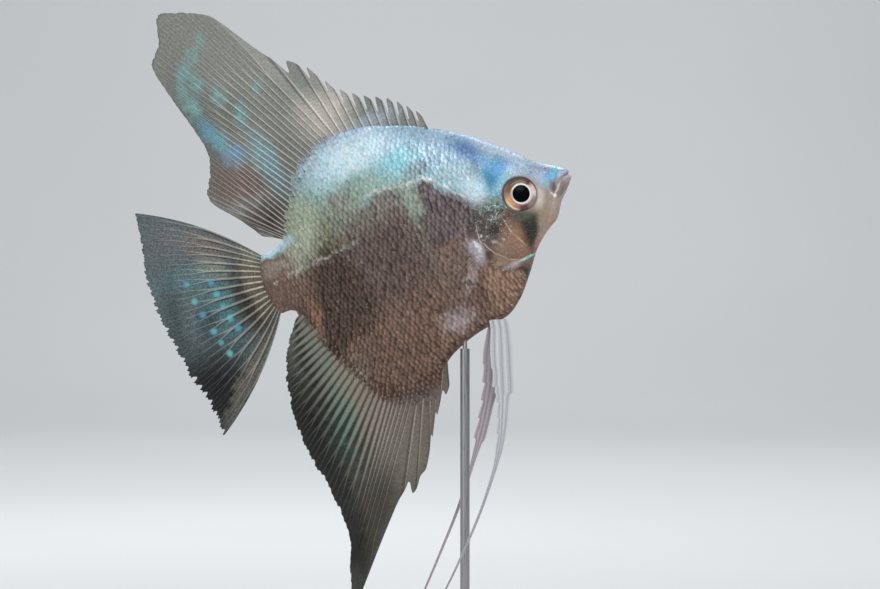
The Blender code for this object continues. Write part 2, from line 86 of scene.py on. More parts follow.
class SmoothLine:
    """A line through knots that never overshoots between them."""

    def __init__(self, knots: Knots, column: int = 1) -> None:
        """Fit the line.

        Args:
            knots: Rows of numbers, each with its place first.
            column: Which number of the row the line follows.
        """
        self.x = np.array([knot[0] for knot in knots], float)
        self.y = np.array([knot[column] for knot in knots], float)
        slopes = np.diff(self.y) / np.diff(self.x)
        self.tangents = np.zeros(len(self.x))
        self.tangents[0], self.tangents[-1] = slopes[0], slopes[-1]
        before, after = slopes[:-1], slopes[1:]
        same_way = before * after > 0.0
        total = np.where(same_way, before + after, 1.0)
        self.tangents[1:-1] = np.where(same_way, 2.0 * before * after / total, 0.0)

    def __call__(self, x: Array | float) -> Array:
        """Read the line.

        Args:
            x: Places along it, held to its two ends.

        Returns:
            The line's value at each place.
        """
        x = np.clip(np.asarray(x, float), self.x[0], self.x[-1])
        i = np.clip(np.searchsorted(self.x, x, side="right") - 1, 0, len(self.x) - 2)
        step = self.x[i + 1] - self.x[i]
        t = (x - self.x[i]) / step
        return ((2 * t ** 3 - 3 * t ** 2 + 1) * self.y[i]
                + (t ** 3 - 2 * t ** 2 + t) * step * self.tangents[i]
                + (3 * t ** 2 - 2 * t ** 3) * self.y[i + 1]
                + (t ** 3 - t ** 2) * step * self.tangents[i + 1])


def smooth_step(low: float, high: float, x: Array) -> Array:
    """Ease from 0 at low to 1 at high, which may lie on either side of low."""
    t = np.clip((x - low) / (high - low), 0.0, 1.0)
    return t * t * (3.0 - 2.0 * t)


@dataclass(frozen=True)
class BodyFrame:
    """The fish's own frame, placed by where the CAD's eyes are."""

    pitch: float = math.radians(20.0)
    eye_place: tuple[float, float] = (13.1, 0.0)

    @property
    def forward(self) -> Vector:
        """The direction in which the fish looks."""
        return Vector((math.cos(self.pitch), 0.0, math.sin(self.pitch)))

    @property
    def upward(self) -> Vector:
        """The direction from belly to back."""
        return Vector((-math.sin(self.pitch), 0.0, math.cos(self.pitch)))

    @property
    def snout(self) -> Vector:
        """The frame's origin, at the snout, worked out from the middle between the eyes.

        Returns:
            Its world place.
        """
        corners = [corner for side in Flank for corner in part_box("eye_" + side.label)]
        middle = sum(corners, Vector()) / len(corners)
        return middle + (self.forward * self.eye_place[0] - self.upward * self.eye_place[1]) * MM

    def to_world(self, s: Array, y: Array, h: Array) -> Array:
        """Turn places in the body frame into world places.

        Args:
            s: Millimetres back from the snout.
            y: Millimetres towards the left flank.
            h: Millimetres up from the axis.

        Returns:
            World places in metres, one row each.
        """
        s, y, h = np.broadcast_arrays(s, y, h)
        snout, ahead, up = self.snout, self.forward, self.upward
        return np.stack([snout.x + (h * up.x - s * ahead.x) * MM, snout.y + y * MM,
                         snout.z + (h * up.z - s * ahead.z) * MM], axis=-1)


@dataclass(frozen=True)
class BodyShape:
    """The body's outline and thickness, the same as the solids'."""

    length: float = 79.7
    tail_lobe: float = 2.5
    lip_tip: float = -0.3
    lip_round: float = 1.2
    axis: float = 0.3
    back: SmoothLine = SmoothLine((
        (0, 1.6), (1, 2.6), (3.7, 4.4), (8, 7.4), (9.8, 9.5), (12, 11.4), (20.2, 18.1),
        (28.9, 23.5), (37, 27.1), (46.5, 29.6), (54, 28.6), (60.6, 26.1), (66.3, 20.9),
        (70.5, 13.9), (73.6, 9.7), (77, 8), (82.5, 8)))
    belly: SmoothLine = SmoothLine((
        (0, -0.8), (1.9, -3), (3.9, -5), (6.8, -9.1), (8.5, -10.1), (11, -11.8),
        (14.2, -14.7), (17.3, -18.9), (22.6, -25), (26.8, -27.7), (34.7, -29.1), (42.3, -31.8),
        (48.6, -35.9), (55.1, -37.5), (60, -36.2), (64.3, -33.1), (67.6, -27.6), (73.2, -15.7),
        (75.6, -9.6), (77.6, -7.8), (82.5, -8)))
    half_width: SmoothLine = SmoothLine((
        (0, 1.7), (3, 2.5), (7, 3.7), (13, 5.3), (20, 6.2), (28, 6.5), (38, 6.2),
        (50, 5.3), (60, 4.1), (70, 2.9), (77, 2.1), (82.5, 1.4)))
    fullness: SmoothLine = SmoothLine((
        (0, 0.55), (15, 0.6), (35, 0.7), (60, 0.95), (75, 0.8), (82.5, 0.6)))

    @property
    def tail_end(self) -> float:
        """The s of the flesh's rear end."""
        return self.length + self.tail_lobe

    def end_rounding(self, s: Array) -> Array:
        """How far the section has grown: rounded lips in front, a rounded lobe behind.

        Args:
            s: Places along the body.

        Returns:
            The share of the full section at each place.
        """
        front = np.clip(1.0 - (s - self.lip_tip) / self.lip_round, 0.0, 1.0)
        rear = np.clip((s - self.length) / self.tail_lobe, 0.0, 1.0)
        return np.sqrt(1.0 - front ** 2) * np.sqrt(1.0 - rear ** 2)

    def back_height(self, s: Array) -> Array:
        """Height of the back line at each s."""
        return self.axis + (self.back(s) - self.axis) * self.end_rounding(s)

    def belly_height(self, s: Array) -> Array:
        """Height of the belly line at each s."""
        return self.axis + (self.belly(s) - self.axis) * self.end_rounding(s)

    def edge_reach(self, s: Array, h: Array) -> Array:
        """How far a place lies from the axis towards its edge.

        Args:
            s: Places along the body.
            h: Heights.

        Returns:
            0 on the axis, 1 on the outline, more outside it.
        """
        edge = np.where(h >= self.axis, self.back_height(s), self.belly_height(s))
        gap = np.where(np.abs(edge - self.axis) < 1e-6, 1e-6, edge - self.axis)
        return np.abs((h - self.axis) / gap)

    def flank(self, s: Array, h: Array) -> Array:
        """Half thickness of the body at places on its side.

        Args:
            s: Places along the body.
            h: Heights.

        Returns:
            Millimetres from the mid-plane, 0 on and outside the outline.
        """
        reach = np.clip(self.edge_reach(s, h), 0.0, 1.0)
        width = self.half_width(s) * self.end_rounding(s)
        return width * (1.0 - reach ** 2) ** self.fullness(s)

    def edge_root(self, s: Array, upper: bool, inset: float) -> tuple[Array, Array]:
        """Places square to the back or belly line, where a fin's ray starts.

        Args:
            s: Places along the body.
            upper: True for the back line.
            inset: Millimetres from the line into the body.

        Returns:
            The s and h of each root.
        """
        height = self.back_height if upper else self.belly_height
        step = 0.2
        rise = (height(s + step) - height(s - step)) / (2.0 * step)
        size = np.sqrt(1.0 + rise ** 2)
        sign = 1.0 if upper else -1.0
        return s + sign * rise / size * inset, height(s) - sign * inset / size

    def unwrap(self, s: Array, h: Array, side: Array) -> Array:
        """Unroll the flank flat: length along the body against girth from the axis.

        Args:
            s: Places along the body.
            h: Heights.
            side: Negative on the right flank, positive on the left.

        Returns:
            A UV for each place, with each flank in its own half of the map.
        """
        steps, span, half_girth = 24, 86.0, 41.0
        above = h >= self.axis
        edge = np.where(above, self.back_height(s), self.belly_height(s)) - self.axis
        width = self.half_width(s) * self.end_rounding(s)
        full = self.fullness(s)
        inside = np.clip(self.edge_reach(s, h), 0.0, 1.0)
        girth = np.zeros_like(inside)
        last = width
        for step in range(1, steps + 1):
            reach = inside * step / steps
            here = width * (1.0 - reach ** 2) ** full
            girth += np.hypot(here - last, edge * inside / steps)
            last = here
        girth += np.maximum(0.0, self.edge_reach(s, h) - 1.0) * np.abs(edge)
        u = 0.01 + 0.47 * (s + 1.5) / span + np.where(side > 0.0, 0.5, 0.0)
        return np.stack([u, 0.5 + 0.48 * np.where(above, girth, -girth) / half_girth], axis=-1)


BODY = BodyShape()
FISH = BodyFrame()


# ---- meshes

def read_points(mesh: Mesh) -> Array:
    """Read every vertex of a mesh.

    Args:
        mesh: The mesh.

    Returns:
        Their places, one row each.
    """
    points = np.empty(len(mesh.vertices) * 3)
    mesh.vertices.foreach_get("co", points)
    return points.reshape(-1, 3)


def write_points(mesh: Mesh, points: Array) -> None:
    """Put every vertex of a mesh in its place."""
    mesh.vertices.foreach_set("co", np.ascontiguousarray(points).ravel())
    mesh.update()


def corner_vertices(mesh: Mesh) -> Array:
    """Find the vertex that each face corner of a mesh stands on.

    Args:
        mesh: The mesh.

    Returns:
        The vertex's number for each corner.
    """
    index = np.empty(len(mesh.loops), np.int64)
    mesh.loops.foreach_get("vertex_index", index)
    return index


def set_uv(mesh: Mesh, name: str, uv: Array) -> None:
    """Give a mesh a UV map.

    Args:
        mesh: The mesh.
        name: The map's name.
        uv: One UV for each vertex, or one for each face corner.
    """
    layer = mesh.uv_layers.get(name) or mesh.uv_layers.new(name=name)
    if len(uv) != len(mesh.loops):
        uv = uv[corner_vertices(mesh)]
    layer.data.foreach_set("uv", np.ascontiguousarray(uv, np.float32).ravel())


def set_numbers(mesh: Mesh, **numbers: Array) -> None:
    """Store numbers on the vertices, for a material to read.

    Args:
        mesh: The mesh.
        **numbers: One number for each vertex, by the attribute's name.
    """
    for name, values in numbers.items():
        attribute = mesh.attributes.new(name, "FLOAT", "POINT")
        attribute.data.foreach_set("value", np.ascontiguousarray(values, np.float32))


def set_place(mesh: Mesh, name: str, places: Array) -> None:
    """Store one place for each vertex, for a material to read."""
    attribute = mesh.attributes.new(name, "FLOAT_VECTOR", "POINT")
    attribute.data.foreach_set("vector", np.ascontiguousarray(places, np.float32).ravel())


def shape_mesh(mesh: Mesh, s: Array, y: Array, h: Array) -> None:
    """Put the vertices of a closed mesh in their places in the body frame."""
    write_points(mesh, FISH.to_world(s, y, h))
    face_outwards(mesh)


def finish_mesh(bm: bmesh.types.BMesh, name: str) -> Mesh:
    """Turn a bmesh into a mesh.

    Args:
        bm: The bmesh, which is freed.
        name: The mesh's name.

    Returns:
        The mesh.
    """
    mesh = bpy.data.meshes.new(name)
    bm.to_mesh(mesh)
    bm.free()
    return mesh


def face_outwards(mesh: Mesh) -> None:
    """Turn the faces of a closed mesh so that they point out.

    Args:
        mesh: The mesh.
    """
    bm = bmesh.new()
    bm.from_mesh(mesh)
    if bm.calc_volume(signed=True) < 0.0:
        bmesh.ops.reverse_faces(bm, faces=bm.faces)
        bm.to_mesh(mesh)
    bm.free()
    mesh.update()


def closed_sheet(name: str, columns: int, rows: int) -> tuple[Mesh, Array]:
    """A thin closed slab of two gridded faces, ready to be shaped.

    Args:
        name: The mesh's name.
        columns: Cells across.
        rows: Cells along.

    Returns:
        The mesh, and for each vertex its share across, its share along and its face, -1 or 1.
    """
    bm = bmesh.new()
    bmesh.ops.create_grid(bm, x_segments=columns, y_segments=rows, size=0.5)
    grown = bmesh.ops.extrude_face_region(bm, geom=list(bm.faces), use_keep_orig=True)
    lifted = [item for item in grown["geom"] if isinstance(item, bmesh.types.BMVert)]
    bmesh.ops.translate(bm, verts=lifted, vec=Vector((0.0, 0.0, 1.0)))
    bmesh.ops.recalc_face_normals(bm, faces=bm.faces)
    mesh = finish_mesh(bm, name)
    places = read_points(mesh)
    shares = np.stack([places[:, 0] + 0.5, places[:, 1] + 0.5, places[:, 2] * 2.0 - 1.0], axis=-1)
    return mesh, shares


def set_sheet_uv(mesh: Mesh, shares: Array) -> None:
    """Lay the two faces of a sheet side by side on its UV map.

    Args:
        mesh: The sheet.
        shares: Each vertex's share across, its share along and its face.
    """
    margin = 0.005
    half = np.where(shares[:, 2] > 0.0, 0.5 + margin, margin)
    across, along = (0.5 - 2.0 * margin) * shares[:, 0], (1.0 - 2.0 * margin) * shares[:, 1]
    set_uv(mesh, BAKE_MAP, np.stack([half + across, margin + along], axis=-1))


def joined_copies(template: Mesh, count: int, name: str) -> Mesh:
    """Many copies of one small mesh, joined into a single mesh by an array.

    Args:
        template: The small mesh.
        count: How many copies.
        name: The new mesh's name.

    Returns:
        The joined mesh, copy after copy in the template's vertex order.
    """
    carrier = bpy.data.objects.new(name + "_array", template)
    bpy.context.scene.collection.objects.link(carrier)
    array = carrier.modifiers.new("copies", "ARRAY")
    array.fit_type = "FIXED_COUNT"
    array.count = count
    array.use_relative_offset = False
    array.use_constant_offset = True
    array.constant_offset_displace = (0.0, 0.0, 0.0)
    graph = bpy.context.evaluated_depsgraph_get()
    mesh = bpy.data.meshes.new_from_object(carrier.evaluated_get(graph))
    mesh.name = name
    bpy.data.objects.remove(carrier)
    return mesh


def show(name: str, mesh: Mesh, material: Material,
         stands_for: Sequence[str] = (), sharp_angle: float = 180.0) -> bpy.types.Object:
    """Put a finished mesh in the scene as a piece of the model.

    Args:
        name: The piece's name.
        mesh: Its mesh, already in place.
        material: Its finish.
        stands_for: CAD nodes that it replaces.
        sharp_angle: Edges sharper than this many degrees stay sharp.

    Returns:
        The piece.
    """
    mesh.shade_smooth()
    if sharp_angle < 180.0:
        mesh.set_sharp_from_angle(angle=math.radians(sharp_angle))
    mesh.materials.clear()
    mesh.materials.append(material)
    piece = bpy.data.objects.new(name, mesh)
    bpy.context.scene.collection.objects.link(piece)
    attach(piece, "root")
    if stands_for:
        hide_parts(*stands_for)
    LOG.info("%s: %d triangles", name, len(mesh.loops) - 2 * len(mesh.polygons))
    return piece


# ---- shader tools

def paint(red: float, green: float, blue: float) -> Colour:
    """A display colour, 0 to 255, as the linear colour that a shader takes.

    Args:
        red: Red on the display.
        green: Green on the display.
        blue: Blue on the display.

    Returns:
        The linear colour.
    """
    def linear(value: float) -> float:
        """One channel, made linear."""
        share = value / 255.0
        return share / 12.92 if share <= 0.04045 else ((share + 0.055) / 1.055) ** 2.4
    return linear(red), linear(green), linear(blue)


Socket = bpy.types.NodeSocket
Value = float | tuple | Vector | Socket


class Graph:
    """Builds one node tree, a node at a time."""

    def __init__(self, tree: NodeTree) -> None:
        """Start on a tree."""
        self.tree = tree

    def plug(self, socket: Socket, value: Value) -> None:
        """Link a socket to another one, or set it to a number, place or colour.

        Args:
            socket: The input socket.
            value: What goes into it.
        """
        if isinstance(value, bpy.types.NodeSocket):
            self.tree.links.new(value, socket)
        elif socket.type == "RGBA" and len(value) == 3:
            socket.default_value = (*value, 1.0)
        else:
            socket.default_value = value

    def add(self, kind: str, inputs: dict[str | int, Value] | None = None,
            **settings: str | bool) -> Node:
        """Add a node.

        Args:
            kind: The node's type name, without its ShaderNode prefix.
            inputs: Values or links for its inputs, by name or place.
            **settings: Properties of the node.

        Returns:
            The node.
        """
        node = self.tree.nodes.new("ShaderNode" + kind)
        for key, value in settings.items():
            setattr(node, key, value)
        self.wire(node, inputs or {})
        return node

    def wire(self, node: Node, inputs: dict[str | int, Value]) -> None:
        """Link or set several inputs of a node, by name or place."""
        for key, value in inputs.items():
            self.plug(node.inputs[key], value)

    def math(self, operation: str, *values: Value) -> Socket:
        """One step of arithmetic on numbers."""
        return self.add("Math", dict(enumerate(values)), operation=operation).outputs[0]

    def times(self, *values: Value) -> Socket:
        """Multiply numbers together, one after the other.

        Args:
            *values: The numbers.

        Returns:
            Their product.
        """
        product = values[0]
        for value in values[1:]:
            product = self.math("MULTIPLY", product, value)
        return product

    def vector(self, operation: str, *values: Value) -> Socket:
        """One step of arithmetic on vectors."""
        node = self.add("VectorMath", dict(enumerate(values)), operation=operation)
        return node.outputs["Value" if operation in ("LENGTH", "DOT_PRODUCT", "DISTANCE") else "Vector"]

    def mix(self, share: Value, low: Value, high: Value, blend: str = "MIX") -> Socket:
        """Mix two colours, with more of the second the larger the share is."""
        node = self.add("Mix", {0: share, 6: low, 7: high}, data_type="RGBA", blend_type=blend,
                        clamp_factor=True)
        return node.outputs[2]

    def tint(self, colour: Value, tone: Value) -> Socket:
        """A colour multiplied by another one."""
        return self.mix(1.0, colour, tone, "MULTIPLY")

    def grey(self, value: Value) -> Socket:
        """A number as all three channels of a colour."""
        return self.add("CombineXYZ", {0: value, 1: value, 2: value}).outputs[0]

    def ease(self, value: Value, low: Value, high: Value, start: Value = 0.0, end: Value = 1.0) -> Socket:
        """Ease from start to end as a value goes from low to high."""
        node = self.add("MapRange", {"Value": value, "From Min": low, "From Max": high,
                                     "To Min": start, "To Max": end}, interpolation_type="SMOOTHSTEP")
        return node.outputs["Result"]

    def noise(self, vector: Value, scale: float, detail: float = 2.0, colour: bool = False) -> Socket:
        """Smooth noise around 0.5."""
        node = self.add("TexNoise", {"Vector": vector, "Scale": scale, "Detail": detail})
        return node.outputs["Color" if colour else "Fac"]

    def number(self, name: str) -> Socket:
        """A number stored on the piece's vertices."""
        return self.add("Attribute", attribute_name=name).outputs["Fac"]

    def place(self, name: str) -> Socket:
        """A place stored on the piece's vertices."""
        return self.add("Attribute", attribute_name=name).outputs["Vector"]

    def group(self, tree: NodeTree, **inputs: Value) -> Node:
        """Place a node group.

        Args:
            tree: The group.
            **inputs: Its inputs, with underscores for the spaces in their names.

        Returns:
            The group's node.
        """
        node = self.tree.nodes.new("ShaderNodeGroup")
        node.node_tree = tree
        self.wire(node, {key.replace("_", " "): value for key, value in inputs.items()})
        return node


SOCKET_KINDS = {"number": "NodeSocketFloat", "vector": "NodeSocketVector", "colour": "NodeSocketColor"}


class GroupGraph(Graph):
    """A shader node group with named inputs and outputs."""

    def __init__(self, name: str, inputs: dict[str, tuple[str, Value]], outputs: dict[str, str]) -> None:
        """Start a group.

        Args:
            name: The group's name.
            inputs: Each input's kind and its value when nothing is linked to it.
            outputs: Each output's kind.
        """
        super().__init__(bpy.data.node_groups.new(name, "ShaderNodeTree"))
        for key, (kind, value) in inputs.items():
            socket = self.tree.interface.new_socket(name=key, in_out="INPUT", socket_type=SOCKET_KINDS[kind])
            socket.default_value = (*value, 1.0) if kind == "colour" else value
        for key, kind in outputs.items():
            self.tree.interface.new_socket(name=key, in_out="OUTPUT", socket_type=SOCKET_KINDS[kind])
        self.source = self.tree.nodes.new("NodeGroupInput").outputs
        self.sink = self.tree.nodes.new("NodeGroupOutput").inputs

    def give(self, **outputs: Value) -> NodeTree:
        """Link the group's outputs, each by its name, and return the finished group."""
        for key, value in outputs.items():
            self.plug(self.sink[key], value)
        return self.tree


def new_material(name: str) -> tuple[Material, Graph, Node]:
    """A material with a bare Principled shader.

    Args:
        name: The material's name.

    Returns:
        The material, its graph and its shader node.
    """
    material = bpy.data.materials.new(name)
    material.use_nodes = True
    return material, Graph(material.node_tree), material.node_tree.nodes["Principled BSDF"]


# ---- markings

@dataclass(frozen=True)
class Mark:
    """A soft-edged oval of colour on the side, placed by s and h, with its turn in degrees."""

    name: str
    place: tuple[float, float]
    size: tuple[float, float]
    colour: Colour
    turn: float = 0.0
    soft: float = 0.5
    strength: float = 1.0


@dataclass(frozen=True)
class Patch:
    """A soft-edged patch of colour with straight sides, its corners given by s and h."""

    name: str
    corners: tuple[tuple[float, float], ...]
    colour: Colour
    soft: float = 0.6
    strength: float = 1.0


def read_marks(table: str) -> tuple[Mark, ...]:
    """Read marks from a table.

    Args:
        table: One mark a line: its name, its s and h, its two half sizes, its display colour in three
            numbers and then, as far as they are given, its turn, softness and strength.

    Returns:
        The marks.
    """
    marks = []
    for line in table.strip().splitlines():
        name, *cells = line.split()
        s, h, long, wide, red, green, blue, *rest = (float(cell) for cell in cells)
        marks.append(Mark(name, (s, h), (long, wide), paint(red, green, blue), *rest))
    return tuple(marks)


LIGHTNESS = (0.3, 0.5, 0.2)
GROUND = paint(100, 79, 69)
FLANK_MARKS = (
    # The near-white patch on the upper back is its pale iridescent colour with the sheen of the light from
    # above painted into it.
    *read_marks("""
rear_olive 65 -12 9 24 64 46 31 0 0.6
belly_tan 42 -25 24 10 113 85 70 -10 0.6
belly_mauve 57 -31 12 8 104 77 61 0 0.6
peduncle 77 -2 7 7 114 90 77 0 0.6
rear_yellow_green 61 13.5 8 8 126 127 92 0 0.6
back_teal 42 20 24 8 156 196 198 -4 0.5
rear_back_grey 68.5 10 4.6 8.5 160 166 142 25 0.6
back_lavender 43 26.5 19 6 176 198 218 -8 0.5
back_white 50 23.5 9 4.6 226 244 250 -10 0.8 0.85
back_turquoise 38 17.5 6 3.6 136 200 212 0 0.7 0.8
shoulder_green 51.5 14.4 8 3.8 144 168 154 0 0.7
shoulder_teal 30 12 7 6 138 168 178 30 0.6
rear_line_green 57 9 5 4 118 120 108 0 0.8
shoulder_olive 57 13.5 4.5 3 134 134 120 0 0.8 0.8
pale_gap 39.6 7.5 3.2 6.4 140 152 138 -10 0.6 0.9
gap_lower 40.6 -2 1.8 6 112 108 98 -12 0.8 0.6
"""),
    Patch("front_blotch", ((36.6, 10.4), (38, 4), (38.9, -4.5), (26, -4.5), (25.4, 2.6), (34.1, 11.2)),
          paint(94, 80, 81), 0.7),
    Patch("rear_blotch", ((57, 7.2), (43.4, 12.8), (41.8, 7.2), (40.3, 0), (43, -8), (56, -8),
                          (59, 3)), paint(96, 81, 76), 1.8, 0.85),
    *read_marks("""
blotch_haze 48.5 8 6 2.6 130 128 118 -20 0.8 0.55
over_line 35.4 14.6 3.2 1.5 104 112 118 -10 0.7 0.7
mid_dark 49 -5 8 8 86 67 61 0 0.7 0.7
stalk_pale 76.5 4 6 2 148 134 122 -8 0.7 0.8
tan_patch 35.5 -8.5 2.8 3 122 95 80 0 0.7 0.8
armpit_shade 31.6 -9.8 4.4 0.9 92 74 66 -70 0.6 0.7
"""),
)
# The thin dark crescent under the pectoral fin's root is a painted shadow.
CHEST_MARKS = read_marks("""
chest 23.5 -19.8 8.5 6.4 142 110 90 -38 0.6
chest_rear 33 -20 4 5 95 69 60 -20 0.7 0.7
cream_scales 24.4 -14.3 1.6 1 176 158 144 30 0.6 0.7
isthmus_lilac 21.4 -16.3 2.2 0.8 176 160 166 -5 0.7 0.9
isthmus_dark 18.3 -18.4 1.3 1.8 84 78 68 -30 0.6 0.8
pectoral_halo 28.9 -8.8 2.2 4.6 140 118 114 -10 0.7 0.8
pectoral_trail 31 -14.2 5 1.3 158 136 132 -58 0.6 0.9
pectoral_base 28.5 -9.8 1.5 3 182 168 172 -12 0.5
pectoral_glint 28.1 -8.8 0.4 1.3 226 222 228 -20 0.8
armpit 32.6 -16.7 1.5 0.5 70 52 46 15 0.6 0.9
""")
HEAD_MARKS = (
    # The pale V on the maxilla, its point and both thin arms, and the spot on the lips are painted
    # highlights.
    *read_marks("""
nape 24 18 13 7 160 186 206 33 0.6
forehead 12 10.5 10 5.4 158 180 202 38 0.5
brow_lilac 13.5 11.2 7.5 1.5 184 194 212 38 0.6
nape_blue 22.3 14.8 4.6 2.1 76 116 164 50 0.8 0.9
nape_pale 27 8.6 4.6 3.4 164 190 198 40 0.7
temple_teal 18.6 4 4.2 4.2 130 172 190 0 0.6
temple_blue 18.4 7.2 4.2 2.6 40 130 160 -40 0.6
temple_arm 19.8 10.6 2.8 1.5 88 138 180 60 0.8 0.8
temple_deep 19.6 6 2.3 1.5 18 108 148 -60 0.8 0.85
temple_front 16.2 7.8 1.9 1.1 84 138 196 -20 0.8 0.8
temple_white 24 4.6 2.8 3.4 204 224 232 0 0.7
behind_eye 20.6 -0.8 4.8 2 120 140 134 -8 0.7
opercle 22.9 -5 4.2 3.8 92 84 77 0 0.6
opercle_spot 22.5 -6.6 1.4 1.1 56 46 44 0 0.6 0.85
opercle_low 21.6 -11.6 5 2.6 138 111 92 -40 0.6
cheek 8.8 -4.5 4.6 6.6 160 144 125 35 0.4
cheek_cream 9.4 -2.2 1.4 2.6 216 204 194 20 0.6 0.9
cheek_tan 17.9 -10.3 2.4 4.6 152 115 92 -20 0.6
snout 4 2.2 5.2 4 164 174 196 0 0.5
snout_line 3.2 3.9 3 0.5 178 216 230 38 0.6
snout_blue 4.4 1.5 2.4 1.7 98 152 198 20 0.6
snout_turquoise 3.4 2 0.9 1.1 112 190 206 20 0.8 0.8
snout_green 6.4 0.6 0.9 1.2 140 188 186 0 0.8 0.7
nostril_ring 5.2 3.5 0.8 0.75 170 156 176 0 0.8 0.8
nostril 5.2 3.75 0.4 0.32 144 128 150 0 0.7
jaw 4.4 -4.4 2.6 5.6 178 162 152 32 0.5
jaw_band 2.6 -1.7 3.5 1.15 152 134 134 -33 0.4
lips 0.5 -0.1 1.3 1.1 176 158 162 -30 0.5
lip_glint -0.1 0.1 0.35 0.5 236 226 226 0 0.6 0.9
jaw_shadow 3.6 -3.1 1.5 0.5 116 108 106 -48 0.7 0.65
jaw_edge 9.9 -10.3 5.2 1.2 172 146 130 -38 0.6
jaw_pink 13.6 -13.4 1.8 0.8 176 122 116 -45 0.6 0.8
maxilla_shade 5.1 -1.1 0.75 1.5 106 96 92 10 0.6 0.9
maxilla_rear 5.75 -2.95 0.7 0.22 222 218 214 58 0.6 0.9
maxilla_front 4.25 -1.95 1.9 0.24 214 206 202 -49 0.6 0.9
maxilla_glint 5.35 -3.35 0.42 0.42 250 248 244 0 0.6
cheek_ochre 15.8 -12.2 0.9 2.6 108 82 56 -15 0.7 0.8
"""),
    Patch("under_eye", ((15.7, -4.7), (11, -5.7), (11.6, -9.3), (13.4, -12), (15.2, -13.8), (16, -12)),
          paint(43, 41, 33), 1.1, 0.95),
    # The flakes on the gill cover are its silvery flecks, painted at their brightest as glints; the topmost
    # pale line along the gill cover's rear edge is a painted highlight.
    *read_marks("""
under_eye_top 14.6 -5.9 2.4 1.1 84 94 82 10 0.8 0.65
opercle_glint 21.6 -3.5 1.5 0.7 158 162 158 0 0.8 0.6
flake_1 26.2 -6.6 0.5 0.3 206 208 204 -30 0.7 0.7
flake_2 24.9 -7.6 0.45 0.3 190 190 184 20 0.7 0.6
flake_3 23.6 -9.1 0.6 0.35 196 190 178 40 0.8 0.7
flake_4 21.3 -9.3 0.4 0.3 192 186 172 0 0.7 0.6
flake_5 22.5 -10.3 1.2 0.35 176 166 150 45 0.9 0.5
gill_red 18.4 -14.6 1.3 0.28 180 100 98 -5 0.6 0.8
isthmus_teal 16.9 -15.6 2.6 0.3 160 206 196 -8 0.6
gill_edge_0 26.7 -4 1.5 0.15 176 176 174 110 0.7 0.6
gill_edge_1 27 -6.8 1.9 0.17 206 198 196 98 0.6 0.7
gill_edge_2 25.6 -10.2 2.1 0.17 206 198 196 56 0.6 0.8
gill_edge_3 23.2 -13 1.9 0.17 196 174 154 44 0.6 0.75
gill_edge_4 20.4 -15 1.8 0.17 190 156 128 22 0.6 0.7
preopercle_1 19.3 -6.3 2.9 0.15 196 182 166 77 0.7 0.7
preopercle_2 17.5 -10.7 2.5 0.15 200 172 146 62 0.7 0.75
"""),
)
EDGE_MARKS = read_marks("""
notch_edge 76.3 8.2 5 1.3 196 222 232 -12 0.6
anal_orange 72.6 -13 1.6 6 152 108 86 16 0.8 0.7
belly_orange 67 -24.5 1.6 5 128 94 72 28 0.8 0.5
belly_glint 38.6 -24.6 3.6 2.4 178 162 162 0 0.9 0.7
anal_sheath 57 -41 11 3.4 102 90 84 4 0.6 0.9
anal_sheath_rear 69 -31 4 8 110 98 88 32 0.7 0.8
""")
BODY_MARKS = FLANK_MARKS + CHEST_MARKS + HEAD_MARKS + EDGE_MARKS
SMOOTH_CHEEK = Mark("smooth_cheek", (6.0, -5.2), (7.6, 6.0), GROUND, -35, 0.5, 0.85)
SPECKLED = (
    Mark("gill_speckles", (22.8, -4.6), (4.6, 4.2), GROUND, 0, 0.5, 0.8),
    Mark("cheek_speckles", (19.4, -1.6), (3.6, 3.0), GROUND, 0, 0.7, 0.6),
)


def soft_oval_group() -> NodeTree:
    """Build the group that finds how far a place lies inside a soft-edged oval.

    Returns:
        The group.
    """
    graph = GroupGraph("soft_oval", {"Place": ("vector", (0, 0, 0)), "Long": ("vector", (1, 0, 0)),
                                     "Wide": ("vector", (0, 1, 0)), "Soft": ("number", 0.5)},
                       {"Mask": "number"})
    source = graph.source
    along = graph.vector("DOT_PRODUCT", source["Place"], source["Long"])
    across = graph.vector("DOT_PRODUCT", source["Place"], source["Wide"])
    square = graph.math("MULTIPLY_ADD", along, along, graph.times(across, across))
    distance = graph.math("SQRT", square)
    outer = graph.math("ADD", 1.0, source["Soft"])
    inner = graph.math("SUBTRACT", 1.0, source["Soft"])
    return graph.give(Mask=graph.ease(distance, outer, inner))


def straight_side_group() -> NodeTree:
    """Build the group that finds on which side of a soft straight edge a place lies.

    Returns:
        The group.
    """
    graph = GroupGraph("straight_side", {"Place": ("vector", (0, 0, 0)), "Inward": ("vector", (1, 0, 0)),
                                         "Soft": ("number", 0.5)}, {"Mask": "number"})
    source = graph.source
    depth = graph.vector("DOT_PRODUCT", source["Place"], source["Inward"])
    return graph.give(Mask=graph.ease(depth, graph.times(source["Soft"], -1.0), source["Soft"]))


def body_place_group() -> NodeTree:
    """Build the group that turns object coordinates into the body place (s, h, 1), in millimetres.

    Returns:
        The group.
    """
    graph = GroupGraph("body_place", {}, {"Place": "vector"})
    spot = graph.add("TexCoord").outputs["Object"]
    reach = graph.vector("SUBTRACT", spot, tuple(FISH.snout))
    s = graph.vector("DOT_PRODUCT", reach, tuple(FISH.forward * -1000.0))
    h = graph.vector("DOT_PRODUCT", reach, tuple(FISH.upward * 1000.0))
    return graph.give(Place=graph.add("CombineXYZ", {0: s, 1: h, 2: 1.0}).outputs[0])


